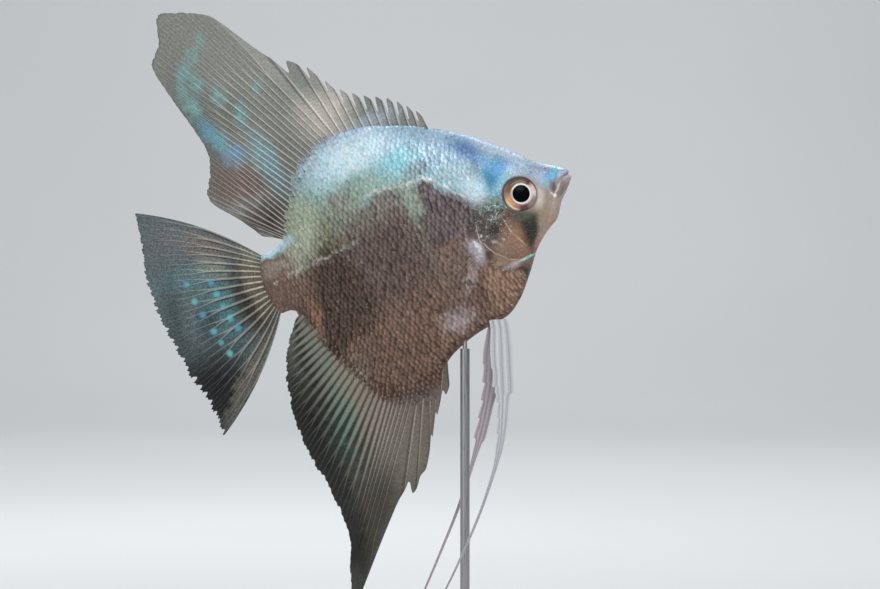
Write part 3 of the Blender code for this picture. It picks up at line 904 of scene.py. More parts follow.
def fin_ray_group() -> NodeTree:
    """Build the group that draws a fin's rays, which fork twice, and the shade behind each of them.

    Returns:
        The group.
    """
    graph = GroupGraph("fin_rays", {"Ray": ("number", 0.0), "Out": ("number", 0.0), "Soft": ("number", 1.0),
                                    "Width": ("number", 0.26), "Taper": ("number", 0.5),
                                    "Fork": ("number", 0.5), "Second Fork": ("number", 0.8)},
                       {"Line": "number", "Shade": "number"})
    source = graph.source
    signed = graph.math("SUBTRACT", source["Ray"], graph.math("FLOOR", graph.math("ADD", source["Ray"], 0.5)))
    offset = graph.math("ABSOLUTE", signed)
    thinned = graph.times(graph.ease(source["Out"], 0.1, 0.85), source["Taper"])
    width = graph.times(source["Width"], graph.math("SUBTRACT", 1.0, thinned))
    behind = graph.math("ABSOLUTE", graph.math("SUBTRACT", signed, graph.math("ADD", width, 0.04)))
    shade = graph.ease(behind, 0.12, 0.03)
    for name, part in (("Fork", 0.25), ("Second Fork", 0.125)):
        opened = graph.ease(source["Out"], source[name], graph.math("ADD", source[name], 0.3))
        opened = graph.times(opened, source["Soft"])
        offset = graph.math("ABSOLUTE", graph.math("SUBTRACT", offset, graph.times(opened, part)))
        width = graph.times(width, graph.math("SUBTRACT", 1.0, graph.times(opened, 0.4)))
        shade = graph.times(shade, graph.math("SUBTRACT", 1.0, opened))
    line = graph.ease(offset, width, graph.times(width, 0.25))
    line = graph.times(line, graph.ease(source["Out"], source["Fork"], 1.0, 1.0, 0.45))
    return graph.give(Line=line, Shade=shade)


class Palette:
    """The node groups that several finishes share."""

    def __init__(self) -> None:
        """Build the groups."""
        self.oval = soft_oval_group()
        self.side = straight_side_group()
        self.body_place = body_place_group()
        self.rays = fin_ray_group()
        self.markings = self.build_markings()

    def oval_mask(self, graph: Graph, place: Value, mark: Mark) -> Socket:
        """How far a place lies inside an oval mark.

        Args:
            graph: The graph to build in.
            place: The body place (s, h, 1).
            mark: The mark.

        Returns:
            The share, 0 outside it.
        """
        turn = math.radians(mark.turn)
        axes = ((math.cos(turn), math.sin(turn)), (-math.sin(turn), math.cos(turn)))
        long, wide = (tuple(part / size for part in (*axis, -float(np.dot(axis, mark.place))))
                      for axis, size in zip(axes, mark.size))
        oval = graph.group(self.oval, Place=place, Long=long, Wide=wide, Soft=mark.soft)
        oval.label = mark.name
        return oval.outputs["Mask"]

    def patch_mask(self, graph: Graph, place: Value, patch: Patch) -> Socket:
        """How far a place lies inside a straight-sided patch.

        Args:
            graph: The graph to build in.
            place: The body place (s, h, 1).
            patch: The patch, its corners in order round it and none of them dented in.

        Returns:
            The share, 0 outside it.
        """
        centre = np.mean(patch.corners, axis=0)
        share = None
        for one, two in zip(patch.corners, patch.corners[1:] + patch.corners[:1]):
            inward = np.array([two[1] - one[1], one[0] - two[0]]) / math.dist(one, two)
            inward = inward * math.copysign(1.0, float(np.dot(inward, centre - np.array(one))))
            plane = (*inward, -float(np.dot(inward, one)))
            side = graph.group(self.side, Place=place, Inward=plane, Soft=patch.soft)
            side.label = patch.name
            mask = side.outputs["Mask"]
            share = mask if share is None else graph.times(share, mask)
        return share

    def lay_marks(self, graph: Graph, place: Value, ground: Value, marks: Sequence[Mark | Patch]) -> Socket:
        """Paint marks over a ground colour, one after the other.

        Args:
            graph: The graph to build in.
            place: The body place (s, h, 1).
            ground: The colour below.
            marks: The marks, from the lowest to the topmost.

        Returns:
            The colour.
        """
        colour = ground
        for mark in marks:
            if isinstance(mark, Patch):
                share = self.patch_mask(graph, place, mark)
            else:
                share = self.oval_mask(graph, place, mark)
            if mark.strength < 1.0:
                share = graph.times(share, mark.strength)
            colour = graph.mix(share, colour, mark.colour)
        return colour

    def build_markings(self) -> NodeTree:
        """Build the fish's whole colour pattern, which skin and coat share.

        Returns:
            The group.
        """
        graph = GroupGraph("fish_markings", {"Place": ("vector", (0, 0, 0))}, {"Color": "colour"})
        place = graph.source["Place"]
        wander = graph.noise(place, 0.35, 3.0, colour=True)
        drift = graph.vector("SUBTRACT", wander, (0.5, 0.5, 0.5))
        body_part = graph.ease(graph.add("SeparateXYZ", {0: place}).outputs["X"], 22.0, 34.0, 0.7, 4.0)
        most = graph.add("CombineXYZ", {0: body_part, 1: body_part}).outputs[0]
        moved = graph.vector("ADD", place, graph.vector("MULTIPLY", drift, most))
        colour = self.lay_marks(graph, moved, GROUND, BODY_MARKS)
        light = graph.ease(graph.vector("DOT_PRODUCT", colour, LIGHTNESS), 0.1, 0.5, 0.15, 0.8)
        smooth = graph.times(self.oval_mask(graph, place, SMOOTH_CHEEK), SMOOTH_CHEEK.strength)
        light = graph.times(light, graph.math("SUBTRACT", 1.0, smooth))
        other = graph.vector("ADD", place, (31.0, 17.0, 5.0))
        pale_grain = graph.ease(graph.noise(place, 2.2, 4.0), 0.52, 0.66)
        dark_grain = graph.ease(graph.noise(other, 1.9, 4.0), 0.5, 0.64)
        colour = graph.mix(graph.times(pale_grain, light, 0.45), colour, paint(222, 234, 240))
        hue = graph.times(graph.ease(graph.noise(other, 0.55, 3.0), 0.42, 0.6), light)
        colour = graph.mix(hue, colour, graph.tint(colour, (0.87, 1.01, 1.04)))
        deeper = graph.tint(colour, (0.28, 0.42, 0.5))
        colour = graph.mix(graph.times(dark_grain, light, 0.55), colour, deeper)
        coarse = graph.noise(other, 1.15, 3.0)
        granules = ((graph.ease(coarse, 0.53, 0.62), (0.55, 0.52, 0.52)),
                    (graph.ease(coarse, 0.45, 0.37), (1.5, 1.55, 1.55)),
                    (dark_grain, (0.42, 0.4, 0.4)), (pale_grain, (1.9, 2.0, 2.0)))
        for region in SPECKLED:
            inside = self.oval_mask(graph, place, region)
            for grain, tone in granules:
                share = graph.times(inside, grain, region.strength)
                colour = graph.mix(share, colour, graph.tint(colour, tone))
        return graph.give(Color=colour)


# ---- finishes

@dataclass(frozen=True)
class SkinFinish:
    """Wet living skin with the fish's markings."""

    palette: Palette
    roughness: float = 0.36

    def build(self) -> Material:
        """Make the material.

        Returns:
            The material.
        """
        material, graph, shader = new_material("fish_skin")
        place = graph.group(self.palette.body_place).outputs["Place"]
        colour = graph.group(self.palette.markings, Place=place).outputs["Color"]
        mottle = graph.noise(place, 1.1, 4.0)
        colour = graph.mix(0.35, colour, graph.mix(mottle, (0.0, 0.0, 0.0), (1.0, 1.0, 1.0)), "SOFT_LIGHT")
        gloss = graph.ease(graph.noise(place, 2.0), 0.3, 0.7, self.roughness - 0.06, self.roughness + 0.08)
        cells = graph.add("TexVoronoi", {"Vector": place, "Scale": 1.8}).outputs["Distance"]
        grain = graph.math("ADD", graph.times(cells, 0.5), graph.noise(place, 4.0, 3.0))
        bump = graph.add("Bump", {"Height": grain, "Strength": 0.35, "Distance": 0.00008})
        graph.wire(shader, {"Base Color": colour, "Roughness": gloss, "Metallic": 0.12,
                            "Specular IOR Level": 0.3, "Normal": bump.outputs["Normal"]})
        return material


@dataclass(frozen=True)
class CoatFinish:
    """Overlapping silvery scales: a pale band before each free edge, their own silvery colour with a painted
    sheen, and a dusky root, darkened by painted shade where the scale ahead overlaps it.
    """

    palette: Palette
    # dark and dark_on_pale set the painted shade at each root; bright and bright_on_pale set the pale band,
    # painted brighter as its sheen; gleam is a painted sheen mixed into that band.
    dark: float = 0.52
    dark_on_pale: float = 0.87
    bright: float = 1.38
    bright_on_pale: float = 1.11
    gleam: Colour = paint(206, 204, 202)
    line: Colour = paint(214, 214, 208)

    def build(self) -> Material:
        """Make the material.

        Returns:
            The material.
        """
        material, graph, shader = new_material("fish_scales")
        colour = graph.group(self.palette.markings, Place=graph.place("root")).outputs["Color"]
        along, across = graph.number("along"), graph.number("across")
        tint, presence = graph.number("tint"), graph.number("show")
        # Painted light on each scale: the shade runs from the painted shade at its root to the painted sheen
        # in the band before its free edge.
        rise = graph.ease(along, 0.56, 0.84)
        fall = graph.ease(along, 1.02, 0.93, 0.55, 1.0)
        sides = graph.ease(graph.math("ABSOLUTE", across), 0.42, 0.1)
        pale = graph.times(rise, fall, sides)
        light = graph.vector("DOT_PRODUCT", colour, LIGHTNESS)
        low, high = (graph.ease(presence, 0.15, 0.9, 1.0, graph.ease(light, 0.08, 0.45, *ends))
                     for ends in ((self.dark, self.dark_on_pale), (self.bright, self.bright_on_pale)))
        shade = graph.math("ADD", low, graph.times(pale, graph.math("SUBTRACT", high, low)))
        spread = graph.times(graph.ease(light, 0.08, 0.45, 0.5, 0.14), presence)
        uneven = graph.times(graph.math("SUBTRACT", tint, 0.5), spread)
        least, most = (graph.ease(light, 0.08, 0.45, *ends) for ends in ((0.76, 0.93), (1.22, 1.05)))
        blotch = graph.ease(graph.noise(graph.place("root"), 1.0, 4.0), 0.32, 0.68, least, most)
        shade = graph.times(shade, blotch, graph.math("ADD", 1.0, uneven))
        lit = graph.mix(graph.times(pale, 0.06), graph.tint(colour, graph.grey(shade)), self.gleam)
        tube = graph.times(graph.number("line"), graph.ease(tint, 0.1, 0.7, 0.15, 0.95))
        graph.wire(shader, {"Base Color": graph.mix(tube, lit, self.line), "Metallic": graph.times(pale, 0.3),
                            "Specular IOR Level": 0.18, "Roughness": graph.ease(tint, 0.0, 1.0, 0.46, 0.32)})
        return material


class FinKind(Enum):
    """The fish's kinds of fin, which differ in web and rays."""

    DORSAL = "dorsal"
    ANAL = "anal"
    CAUDAL = "caudal"
    PELVIC = "pelvic"
    PECTORAL = "pectoral"


@dataclass(frozen=True)
class FinFinish:
    """A smoky web with paler rays and thin dark gaps between them."""

    palette: Palette
    kind: FinKind
    web: Colour
    ray: Colour
    opacity: float = 0.96
    margin_opacity: float = 0.88
    ray_opacity: float = 1.0
    ray_gain: float = 1.5
    ray_share: float = 0.35
    taper: float = 0.5
    fork: float = 0.5
    second_fork: float = 2.0
    gap_reach: float = 0.5
    shade: float = 0.5
    grain: float = 0.2
    marks: tuple[Mark, ...] = ()
    spots: tuple[Mark, ...] = ()

    def build(self) -> Material:
        """Make the material.

        Returns:
            The material.
        """
        material, graph, shader = new_material(self.kind.value + "_fin")
        out = graph.number("out")
        place = graph.group(self.palette.body_place).outputs["Place"]
        drift = graph.vector("SUBTRACT", graph.noise(place, 0.5, 3.0, colour=True), (0.5, 0.5, 0.5))
        moved = graph.vector("ADD", place, graph.vector("MULTIPLY", drift, (5.0, 5.0, 0.0)))
        web = self.palette.lay_marks(graph, moved, self.web, self.marks)
        lines = graph.group(self.palette.rays, Ray=graph.number("ray"), Out=out, Soft=graph.number("soft"),
                            Width=graph.number("width"), Taper=self.taper, Fork=self.fork,
                            Second_Fork=self.second_fork)
        line = lines.outputs["Line"]
        grain = graph.ease(graph.noise(place, 2.2, 4.0), 0.3, 0.7, 1.0 - self.grain, 1.0 + self.grain)
        web = graph.tint(web, graph.grey(grain))
        inner = graph.math("ADD", out, graph.times(graph.noise(place, 0.7, 3.0), 0.3))
        inner = graph.ease(inner, self.gap_reach + 0.3, self.gap_reach)
        dark = graph.math("MAXIMUM", graph.times(inner, graph.number("gap")),
                          graph.times(lines.outputs["Shade"], self.shade))
        deep = graph.mix(dark, web, graph.tint(web, (0.24, 0.2, 0.19)))
        ray = graph.mix(self.ray_share, graph.tint(web, (self.ray_gain,) * 3), self.ray)
        colour = self.palette.lay_marks(graph, place, graph.mix(line, deep, ray), self.spots)
        clear = graph.ease(out, 0.5, 1.0, self.opacity, self.margin_opacity)
        alpha = graph.math("MAXIMUM", clear, graph.times(line, self.ray_opacity))
        bump = graph.add("Bump", {"Height": line, "Strength": 0.4, "Distance": 0.00015})
        graph.wire(shader, {"Base Color": colour, "Alpha": alpha, "Normal": bump.outputs["Normal"],
                            "Roughness": 0.42, "Specular IOR Level": 0.18, "Metallic": 0.1})
        return material


# ---- the skin

@dataclass(frozen=True)
class Swell:
    """A soft oval rise or hollow on the side of the fish."""

    place: tuple[float, float]
    size: tuple[float, float]
    rise: float
    turn: float = 0.0
    soft: float = 0.5

    def height(self, s: Array, h: Array) -> Array:
        """Read the rise.

        Args:
            s: Places along the body.
            h: Heights.

        Returns:
            Millimetres that the skin rises at each place.
        """
        turn = math.radians(self.turn)
        across, up = s - self.place[0], h - self.place[1]
        one = (across * math.cos(turn) + up * math.sin(turn)) / self.size[0]
        two = (up * math.cos(turn) - across * math.sin(turn)) / self.size[1]
        return self.rise * smooth_step(1.0 + self.soft, 1.0 - self.soft, np.hypot(one, two))


@dataclass(frozen=True)
class Crease:
    """A line on the side of the fish where the skin rises, sinks or steps."""

    path: tuple[tuple[float, float], ...]
    rise: float
    width: float
    step: float = 0.0
    step_reach: float = 2.0
    taper: float = 0.12
    samples: int = 36

    def height(self, s: Array, h: Array) -> Array:
        """Read the rise: the ridge, and the step on its left.

        Args:
            s: Places along the body.
            h: Heights.

        Returns:
            Millimetres that the skin rises at each place.
        """
        places = np.linspace(0, len(self.path) - 1, self.samples + 1)
        knots_s = SmoothLine([(i, p[0]) for i, p in enumerate(self.path)])(places)
        knots_h = SmoothLine([(i, p[1]) for i, p in enumerate(self.path)])(places)
        start = np.stack([knots_s[:-1], knots_h[:-1]], axis=-1)
        run = np.stack([np.diff(knots_s), np.diff(knots_h)], axis=-1)
        spots = np.stack([s, h], axis=-1)[:, None, :]
        share = np.clip(((spots - start) * run).sum(-1) / (run ** 2).sum(-1), 0.0, 1.0)
        gap = spots - (start + share[..., None] * run)
        distance = np.hypot(gap[..., 0], gap[..., 1])
        nearest = distance.argmin(axis=1)
        rows = np.arange(len(s))
        distance = distance[rows, nearest]
        side = run[nearest, 0] * gap[rows, nearest, 1] - run[nearest, 1] * gap[rows, nearest, 0]
        travel = (nearest + share[rows, nearest]) / self.samples
        taper = smooth_step(0.0, self.taper, travel) * smooth_step(1.0, 1.0 - self.taper, travel)
        ridge = self.rise * np.exp(-(distance / self.width) ** 2)
        ledge = self.step * (side > 0.0) * smooth_step(self.step_reach, 0.0, distance)
        ledge *= smooth_step(0.0, 0.5 * self.width, distance)
        return (ridge + ledge) * taper


EYE_CENTRE = (FISH.eye_place[0] + 0.44, FISH.eye_place[1] - 0.11)
HEAD_RELIEF: tuple[Swell | Crease, ...] = (
    Crease(((-1.5, 1), (0.6, 0.75), (2.4, 0.1), (4, -0.9)), -0.45, 0.2),
    Swell((0.9, 1.7), (1.5, 0.7), 0.22, 20.0),
    Swell((1.2, -0.6), (1.8, 0.8), 0.22, -20.0),
    Crease(((1.9, 4.2), (2.6, 2.4), (3.9, 0.4), (5, -1.6), (5.9, -3.4)), -0.1, 0.25),
    Crease(((3, 2.2), (4.3, 0.2), (5.3, -1.6), (6.2, -3.6)), 0.2, 0.35),
    Crease(((4.6, -1.9), (6.2, -4.2), (7.9, -7), (9.6, -9.2)), -0.15, 0.3),
    Swell((5.2, 3.5), (0.42, 0.42), -0.28, 0.0, 0.5),
    Swell((5.2, 3.5), (0.8, 0.7), 0.12),
    Crease(((20.2, -3.4), (19.6, -6.4), (18.6, -9), (17.3, -12.2), (15.2, -13.6)), 0.16, 0.3, -0.1, 1.2),
    Crease(((23.4, -2.2), (25.2, -2.5), (26.9, -3.9), (27.8, -5.9), (27.4, -7.9), (26.1, -10.1),
            (23.9, -12.4), (21.3, -14.4), (18.6, -15.2), (15.2, -14.4)), -0.45, 0.28),
    Crease(((23.4, -2.7), (25, -3), (26.4, -4.2), (27.2, -5.9), (26.9, -7.7), (25.6, -9.8),
            (23.5, -11.9), (21.1, -13.8), (18.7, -14.6)), 0.22, 0.5),
    Crease(((14.9, -15), (17, -16.2), (19.6, -16.5), (22.4, -16)), 0.25, 0.5),
    Crease(((10, -4.6), (11.5, -5.6), (14, -5.8), (16.5, -5), (18.2, -3.2)), -0.12, 0.35),
    Swell((28.6, -10.0), (1.6, 2.8), 0.45),
    Swell((9.5, 7.0), (3.0, 1.0), 0.12, 45.0),
)


@dataclass
class Skin:
    """One closed skin over head, jaws, gill covers, trunk and tail stalk."""

    around: int = 256
    along: int = 320
    coat_depth: float = 0.2
    socket_radius: float = 4.2
    socket_depth: float = 1.7
    socket_edge: tuple[float, float] = (-0.3, 0.25)
    relief_reach: float = 34.0
    seam_width: float = 0.3
    stations: SmoothLine = SmoothLine(((0, -0.3), (0.06, 0.9), (0.5, 28), (0.94, 79.6), (1, 82.2)))
    nodes: tuple[str, ...] = ("head", "jaw_upper", "jaw_lower", "gill_cover_left", "gill_cover_right",
                              "trunk", "tail_stalk")

    def coat_room(self, s: Array, h: Array) -> Array:
        """How deep the skin lies under the coat: nothing on the bare head, all of it behind."""
        return self.coat_depth * coat_presence(s, h)

    def relief(self, s: Array, h: Array) -> Array:
        """Add up the folds of the head and the eye's socket.

        Args:
            s: Places along the body.
            h: Heights.

        Returns:
            Millimetres that the skin rises at each place.
        """
        rise = np.zeros_like(s)
        near = s < self.relief_reach
        for form in HEAD_RELIEF:
            rise[near] += form.height(s[near], h[near])
        distance = np.hypot(s - EYE_CENTRE[0], h - EYE_CENTRE[1])
        inner, outer = (self.socket_radius + edge for edge in self.socket_edge)
        return rise - self.socket_depth * smooth_step(outer, inner, distance)

    def build(self, material: Material) -> None:
        """Shape the skin and show it in place of the flesh.

        Args:
            material: Its finish.
        """
        bm = bmesh.new()
        bmesh.ops.create_uvsphere(bm, u_segments=self.around, v_segments=self.along, radius=1.0)
        mesh = finish_mesh(bm, "skin")
        ball = read_points(mesh)
        turn = np.arctan2(ball[:, 1], ball[:, 0])
        s = self.stations(np.arccos(np.clip(ball[:, 2], -1.0, 1.0)) / math.pi)
        rise = np.sin(turn)
        edge = np.where(rise >= 0.0, BODY.back_height(s), BODY.belly_height(s)) - BODY.axis
        room = self.coat_room(s, BODY.axis + edge) / np.maximum(np.abs(edge), 1.0)
        inset = np.clip(1.0 - room, 0.0, 1.0)
        h = BODY.axis + np.abs(rise) * edge * inset
        y = np.copysign(BODY.flank(s, BODY.axis + np.abs(rise) * edge), np.cos(turn))
        shape_mesh(mesh, s, y, h)
        normals = np.empty(len(mesh.vertices) * 3)
        mesh.vertices.foreach_get("normal", normals)
        lift = self.relief(s, h) - np.where(np.abs(y) > self.seam_width, self.coat_room(s, h), 0.0)
        write_points(mesh, read_points(mesh) + normals.reshape(-1, 3) * lift[:, None] * MM)
        set_uv(mesh, BAKE_MAP, self.bake_map(mesh, s, y, h))
        show("skin", mesh, material, self.nodes)

    def bake_map(self, mesh: Mesh, s: Array, y: Array, h: Array) -> Array:
        """Unroll the skin, with each face wholly on its own flank's half of the map.

        Args:
            mesh: The skin.
            s: Each vertex's place along the body.
            y: Its place towards the left.
            h: Its height.

        Returns:
            A UV for each face corner.
        """
        corners = corner_vertices(mesh)
        sizes = np.empty(len(mesh.polygons), np.int64)
        mesh.polygons.foreach_get("loop_total", sizes)
        face = np.repeat(np.arange(len(sizes)), sizes)
        side = np.bincount(face, weights=y[corners]) / sizes
        return BODY.unwrap(s[corners], h[corners], side[face])


# ---- the coat of scales

LATERAL_LINE = ((26.6, 3.5), (28.7, 5.6), (31.5, 9.1), (33.5, 10.9), (36.3, 12.1), (40, 11.6),
                (43.1, 12.5), (46.2, 12.8), (50.3, 12.7))
LATERAL_LINE_REAR = ((56.5, 2.6), (60, 1.9), (65, 1.7), (71.9, 1), (80.3, 0))
COAT_START = SmoothLine((
    (-40, 17.2), (-18.6, 17.2), (-17.4, 19.6), (-16.6, 23.6), (-15, 24.6), (-12.6, 25.2), (-10.3, 26.8),
    (-7.9, 28), (-5.8, 28.3), (-3.8, 27.2), (-2, 25), (4, 23), (12, 20.5), (20, 19),
    (30, 20)))
PECTORAL_BASE = Swell((28.6, -10.0), (1.7, 3.1), 1.0, 0.0, 0.3)


def coat_presence(s: Array, h: Array) -> Array:
    """How fully the scales show: not on face and jaws, finely on cheek and gill cover.

    Args:
        s: Places along the body.
        h: Heights.

    Returns:
        The share at each place, 0 where the skin is bare.
    """
    start = COAT_START(h)
    soft = 1.6 + 11.0 * smooth_step(-3.0, 8.0, h)
    behind = smooth_step(start, start + soft, s)
    keel = smooth_step(0.5, 1.6, h - BODY.belly_height(s)) + smooth_step(43.0, 47.0, s)
    return np.clip(behind * (1.0 - PECTORAL_BASE.height(s, h)), 0.0, 1.0) * np.clip(keel, 0.0, 1.0)


@dataclass
class ScaleCoat:
    """Rows of overlapping scales that run back along each flank and onto the fins' roots."""

    columns: SmoothLine = SmoothLine((
        (0, 16), (6, 21.9), (14, 31), (28, 48), (38, 60), (48, 71.2), (59, 82.6)))
    rows: SmoothLine = SmoothLine((
        (-34, -47), (-24, -36), (-14, -24.4), (-7, -14.8), (0, -4.6), (7, 5.9), (14, 16.1),
        (22, 26.4), (28, 33.4)))
    row_slope: float = 0.1
    overlap: float = 2.1
    breadth: float = 2.3
    lift: float = 0.13
    cells: int = 6
    jitter: tuple[float, float] = (0.13, 0.10)
    square_end: float = 0.42
    root_width: float = 0.72
    root_back: float = 0.62
    tube_rise: float = 0.1
    clearance: float = 0.02
    border: float = 0.12
    tail_fade: float = 0.62
    thinnest: float = 0.02
    eye_room: float = 6.0
    skirt: float = 0.25
    bake_patch: float = 0.003
    back_sheath: SmoothLine = SmoothLine(((38, 0), (46, 0.4), (54, 1.6), (62, 2.4), (70, 1.8), (74, 0)))
    belly_sheath: SmoothLine = SmoothLine((
        (45, 0), (49, 3.4), (56, 5.6), (62, 5.4), (68, 3.8), (73, 1.6), (76, 0)))
    parts: tuple[tuple[str, float, float], ...] = (
        ("front", 0.0, 43.0), ("middle", 43.0, 55.5), ("rear", 55.5, 99.0))
    seed: int = 7

    def template(self) -> Mesh:
        """Make one flat scale: a gridded face over a skirt and a closed underside.

        Returns:
            The scale, one unit across.
        """
        bm = bmesh.new()
        bmesh.ops.create_grid(bm, x_segments=self.cells, y_segments=self.cells, size=0.5)
        rim = [edge for edge in bm.edges if edge.is_boundary]
        grown = bmesh.ops.extrude_edge_only(bm, edges=rim)
        lowered = [item for item in grown["geom"] if isinstance(item, bmesh.types.BMVert)]
        bmesh.ops.translate(bm, verts=lowered, vec=Vector((0.0, 0.0, -1.0)))
        bmesh.ops.edgeloop_fill(bm, edges=[edge for edge in bm.edges if edge.is_boundary])
        bmesh.ops.recalc_face_normals(bm, faces=bm.faces)
        return finish_mesh(bm, "scale")

    def lattice(self) -> tuple[Array, Array, Array, Array]:
        """Places of the scales, in offset rows, with the spacing there.

        Returns:
            The s, h, spacing along and spacing between rows of each scale.
        """
        column, row = np.meshgrid(np.arange(-6, int(self.columns.x[-1]) + 7),
                                  np.arange(int(self.rows.x[0]), int(self.rows.x[-1]) + 1))
        column = (column + 0.5 * (row % 2)).ravel()
        row = row.ravel().astype(float)
        h = self.rows(row)
        s = self.columns(column)
        pitch = self.columns(column + 0.5) - self.columns(column - 0.5)
        gap = self.rows(row + 0.5) - self.rows(row - 0.5)
        h = h + self.row_slope * (s - 45.0)
        inside = (column >= 0.0) & (column <= self.columns.x[-1])
        return s[inside], h[inside], np.maximum(pitch, 0.3)[inside], np.maximum(gap, 0.2)[inside]

    def heading(self, s: Array, h: Array) -> Array:
        """Find the way each scale points: back along the body, turning with its outline.

        Args:
            s: Places along the body.
            h: Heights.

        Returns:
            The angles in radians, upwards from the axis.
        """
        step = 1.0
        upper = np.arctan2(BODY.back_height(s + step) - BODY.back_height(s - step), 2.0 * step)
        lower = np.arctan2(BODY.belly_height(s + step) - BODY.belly_height(s - step), 2.0 * step)
        reach = np.clip(BODY.edge_reach(s, h), 0.0, 1.0)
        return np.where(h > BODY.axis, upper, lower) * 0.6 * reach ** 3

    def beyond(self, s: Array, h: Array) -> Array:
        """Millimetres that a place lies outside the outline, negative inside it."""
        return np.maximum(h - BODY.back_height(s), BODY.belly_height(s) - h)

    def on_fin(self, s: Array, h: Array) -> Array:
        """Find which places outside the outline lie on the dorsal or anal fin's root.

        Args:
            s: Places along the body.
            h: Heights.

        Returns:
            True for each place that does.
        """
        outside = self.beyond(s, h)
        upper = (h > 0.0) & (s > 31.2 + 0.3 * outside) & (s < 75.0)
        return upper | ((h < 0.0) & (s > 47.0 + 0.5 * outside) & (s < 77.0))

    def build(self, material: Material) -> None:
        """Lay both flanks' coats, each in three pieces from front to rear.

        Args:
            material: Their finish.
        """
        s, h, pitch, gap = self.lattice()
        rng = np.random.default_rng(self.seed)
        s = s + rng.normal(0.0, self.jitter[0], len(s)) * pitch
        h = h + rng.normal(0.0, self.jitter[1], len(h)) * gap
        sheath = np.where(h > 0.0, self.back_sheath(s), self.belly_sheath(s))
        presence = coat_presence(s, h)
        outside = self.beyond(s, h)
        edge_room = smooth_step(np.maximum(sheath, 0.0) + 0.3, -0.6, outside)
        presence = presence * np.where(sheath > 0.3, edge_room, 1.0)
        presence = presence * (1.0 - self.tail_fade * smooth_step(69.0, 78.0, s))
        size = 0.52 + 0.48 * smooth_step(0.5, -3.0, outside) * smooth_step(80.0, 70.0, s)
        size = size * (0.8 + 0.2 * presence)
        sheath = np.where(self.on_fin(s, h), sheath, -0.5)
        keep = (presence > self.thinnest) & (outside < np.maximum(sheath, -0.5)) & (s < BODY.tail_end - 0.8)
        keep &= np.hypot(s - EYE_CENTRE[0], h - EYE_CENTRE[1]) > self.eye_room
        dice = rng.random((3, len(s)))
        template = self.template()
        for side in Flank:
            for part, start, end in self.parts:
                picked = keep & (s >= start) & (s < end)
                name = f"scales_{part}_{side.label}"
                mesh = self.lay(template, name, side, s[picked], h[picked], pitch[picked], gap[picked],
                                size[picked], presence[picked], dice[:, picked])
                show(name, mesh, material, sharp_angle=50.0)

    def line_share(self, s: Array, h: Array, width: float) -> Array:
        """Find how much of the lateral line's row of tubes lies at each place.

        Args:
            s: Places along the body.
            h: Heights.
            width: Millimetres from the line's middle to where it fades.

        Returns:
            The share, 1 on the line's middle.
        """
        found = np.zeros_like(s)
        for path, strength in ((LATERAL_LINE, 1.0), (LATERAL_LINE_REAR, 0.6)):
            near = strength * np.exp(-((h - SmoothLine(path)(s)) / width) ** 2)
            found = np.maximum(found, np.where((s > path[0][0]) & (s < path[-1][0]), near, 0.0))
        return found

    def lay(self, template: Mesh, name: str, side: Flank, s: Array, h: Array, pitch: Array, gap: Array,
            size: Array, presence: Array, dice: Array) -> Mesh:
        """Join one scale for each place and lay it along the flank.

        Args:
            template: One flat scale.
            name: The piece's name.
            side: The flank.
            s: Places along the body.
            h: Heights.
            pitch: Spacing along the rows.
            gap: Spacing between the rows.
            size: How large each scale is for its spacing.
            presence: How fully each scale shows.
            dice: Three random numbers for each scale.

        Returns:
            The joined mesh.
        """
        count = len(s)
        flat = read_points(template)
        mesh = joined_copies(template, count, name)
        along, across, level = (np.tile(flat[:, i], count) for i in range(3))
        each = np.repeat(np.arange(count), len(flat))
        travel = along + 0.5
        bulge = (1.0 - (2.0 * np.abs(across)) ** 2.4) ** 0.5
        end = self.square_end + (1.0 - self.square_end) * bulge
        narrow = self.root_width + (1.0 - self.root_width) * smooth_step(0.0, 0.45, travel)
        ahead = (pitch * self.overlap * size)[each] * (travel * end - self.root_back)
        aside = (gap * self.breadth * size)[each] * across * narrow
        turn = self.heading(s, h)[each]
        place_s = s[each] + ahead * np.cos(turn) - aside * np.sin(turn)
        place_h = h[each] + ahead * np.sin(turn) + aside * np.cos(turn)
        thin_sheath = (place_h > 0.0) & (self.back_sheath(place_s) < 0.5)
        bare = ~self.on_fin(place_s, place_h) | thin_sheath
        lowest, highest = BODY.belly_height(place_s), BODY.back_height(place_s)
        place_h = np.where(bare, np.clip(place_h, lowest + self.border, highest - self.border), place_h)
        tilt = 0.85 + 0.3 * dice[1][each]
        roll = (dice[2][each] - 0.5) * 0.05 * across * 2.0
        lift = self.lift * presence[each] * travel * tilt * (1.0 - 0.5 * (2.0 * across) ** 2)
        tubes = self.tube_rise * self.line_share(place_s, place_h, 0.3) * travel
        top = self.clearance + lift + roll * travel * presence[each] + tubes
        height = np.where(level < -0.5, -self.skirt, top)
        sheath = 0.42 - 0.03 * np.clip(self.beyond(place_s, place_h), 0.0, 6.0)
        skin = BODY.flank(place_s, place_h) - Skin.coat_depth * coat_presence(place_s, place_h)
        ground = np.maximum(skin, np.where(self.beyond(s, h)[each] > -1.5, sheath, 0.0))
        shape_mesh(mesh, place_s, side.value * (ground + height), place_h)
        root = BODY.unwrap(s, h, np.full(count, side.value))[each]
        set_uv(mesh, BAKE_MAP, root + self.bake_patch * np.stack([along, across], axis=-1))
        bent = 0.35 * np.sin(s * 2.1) + 0.25 * np.sin(s * 5.3)
        line = self.line_share(place_s, place_h + bent[each], 0.32) * smooth_step(0.3, 0.6, travel)
        set_numbers(mesh, along=travel, across=across * narrow, tint=dice[0][each], show=presence[each],
                    line=line)
        near = 1.0 - 0.4 * presence[each]
        spot = np.stack([s[each] + near * (place_s - s[each]), h[each] + near * (place_h - h[each]),
                         np.ones(len(each))], axis=-1)
        set_place(mesh, "root", spot)
        return mesh


# ---- fins

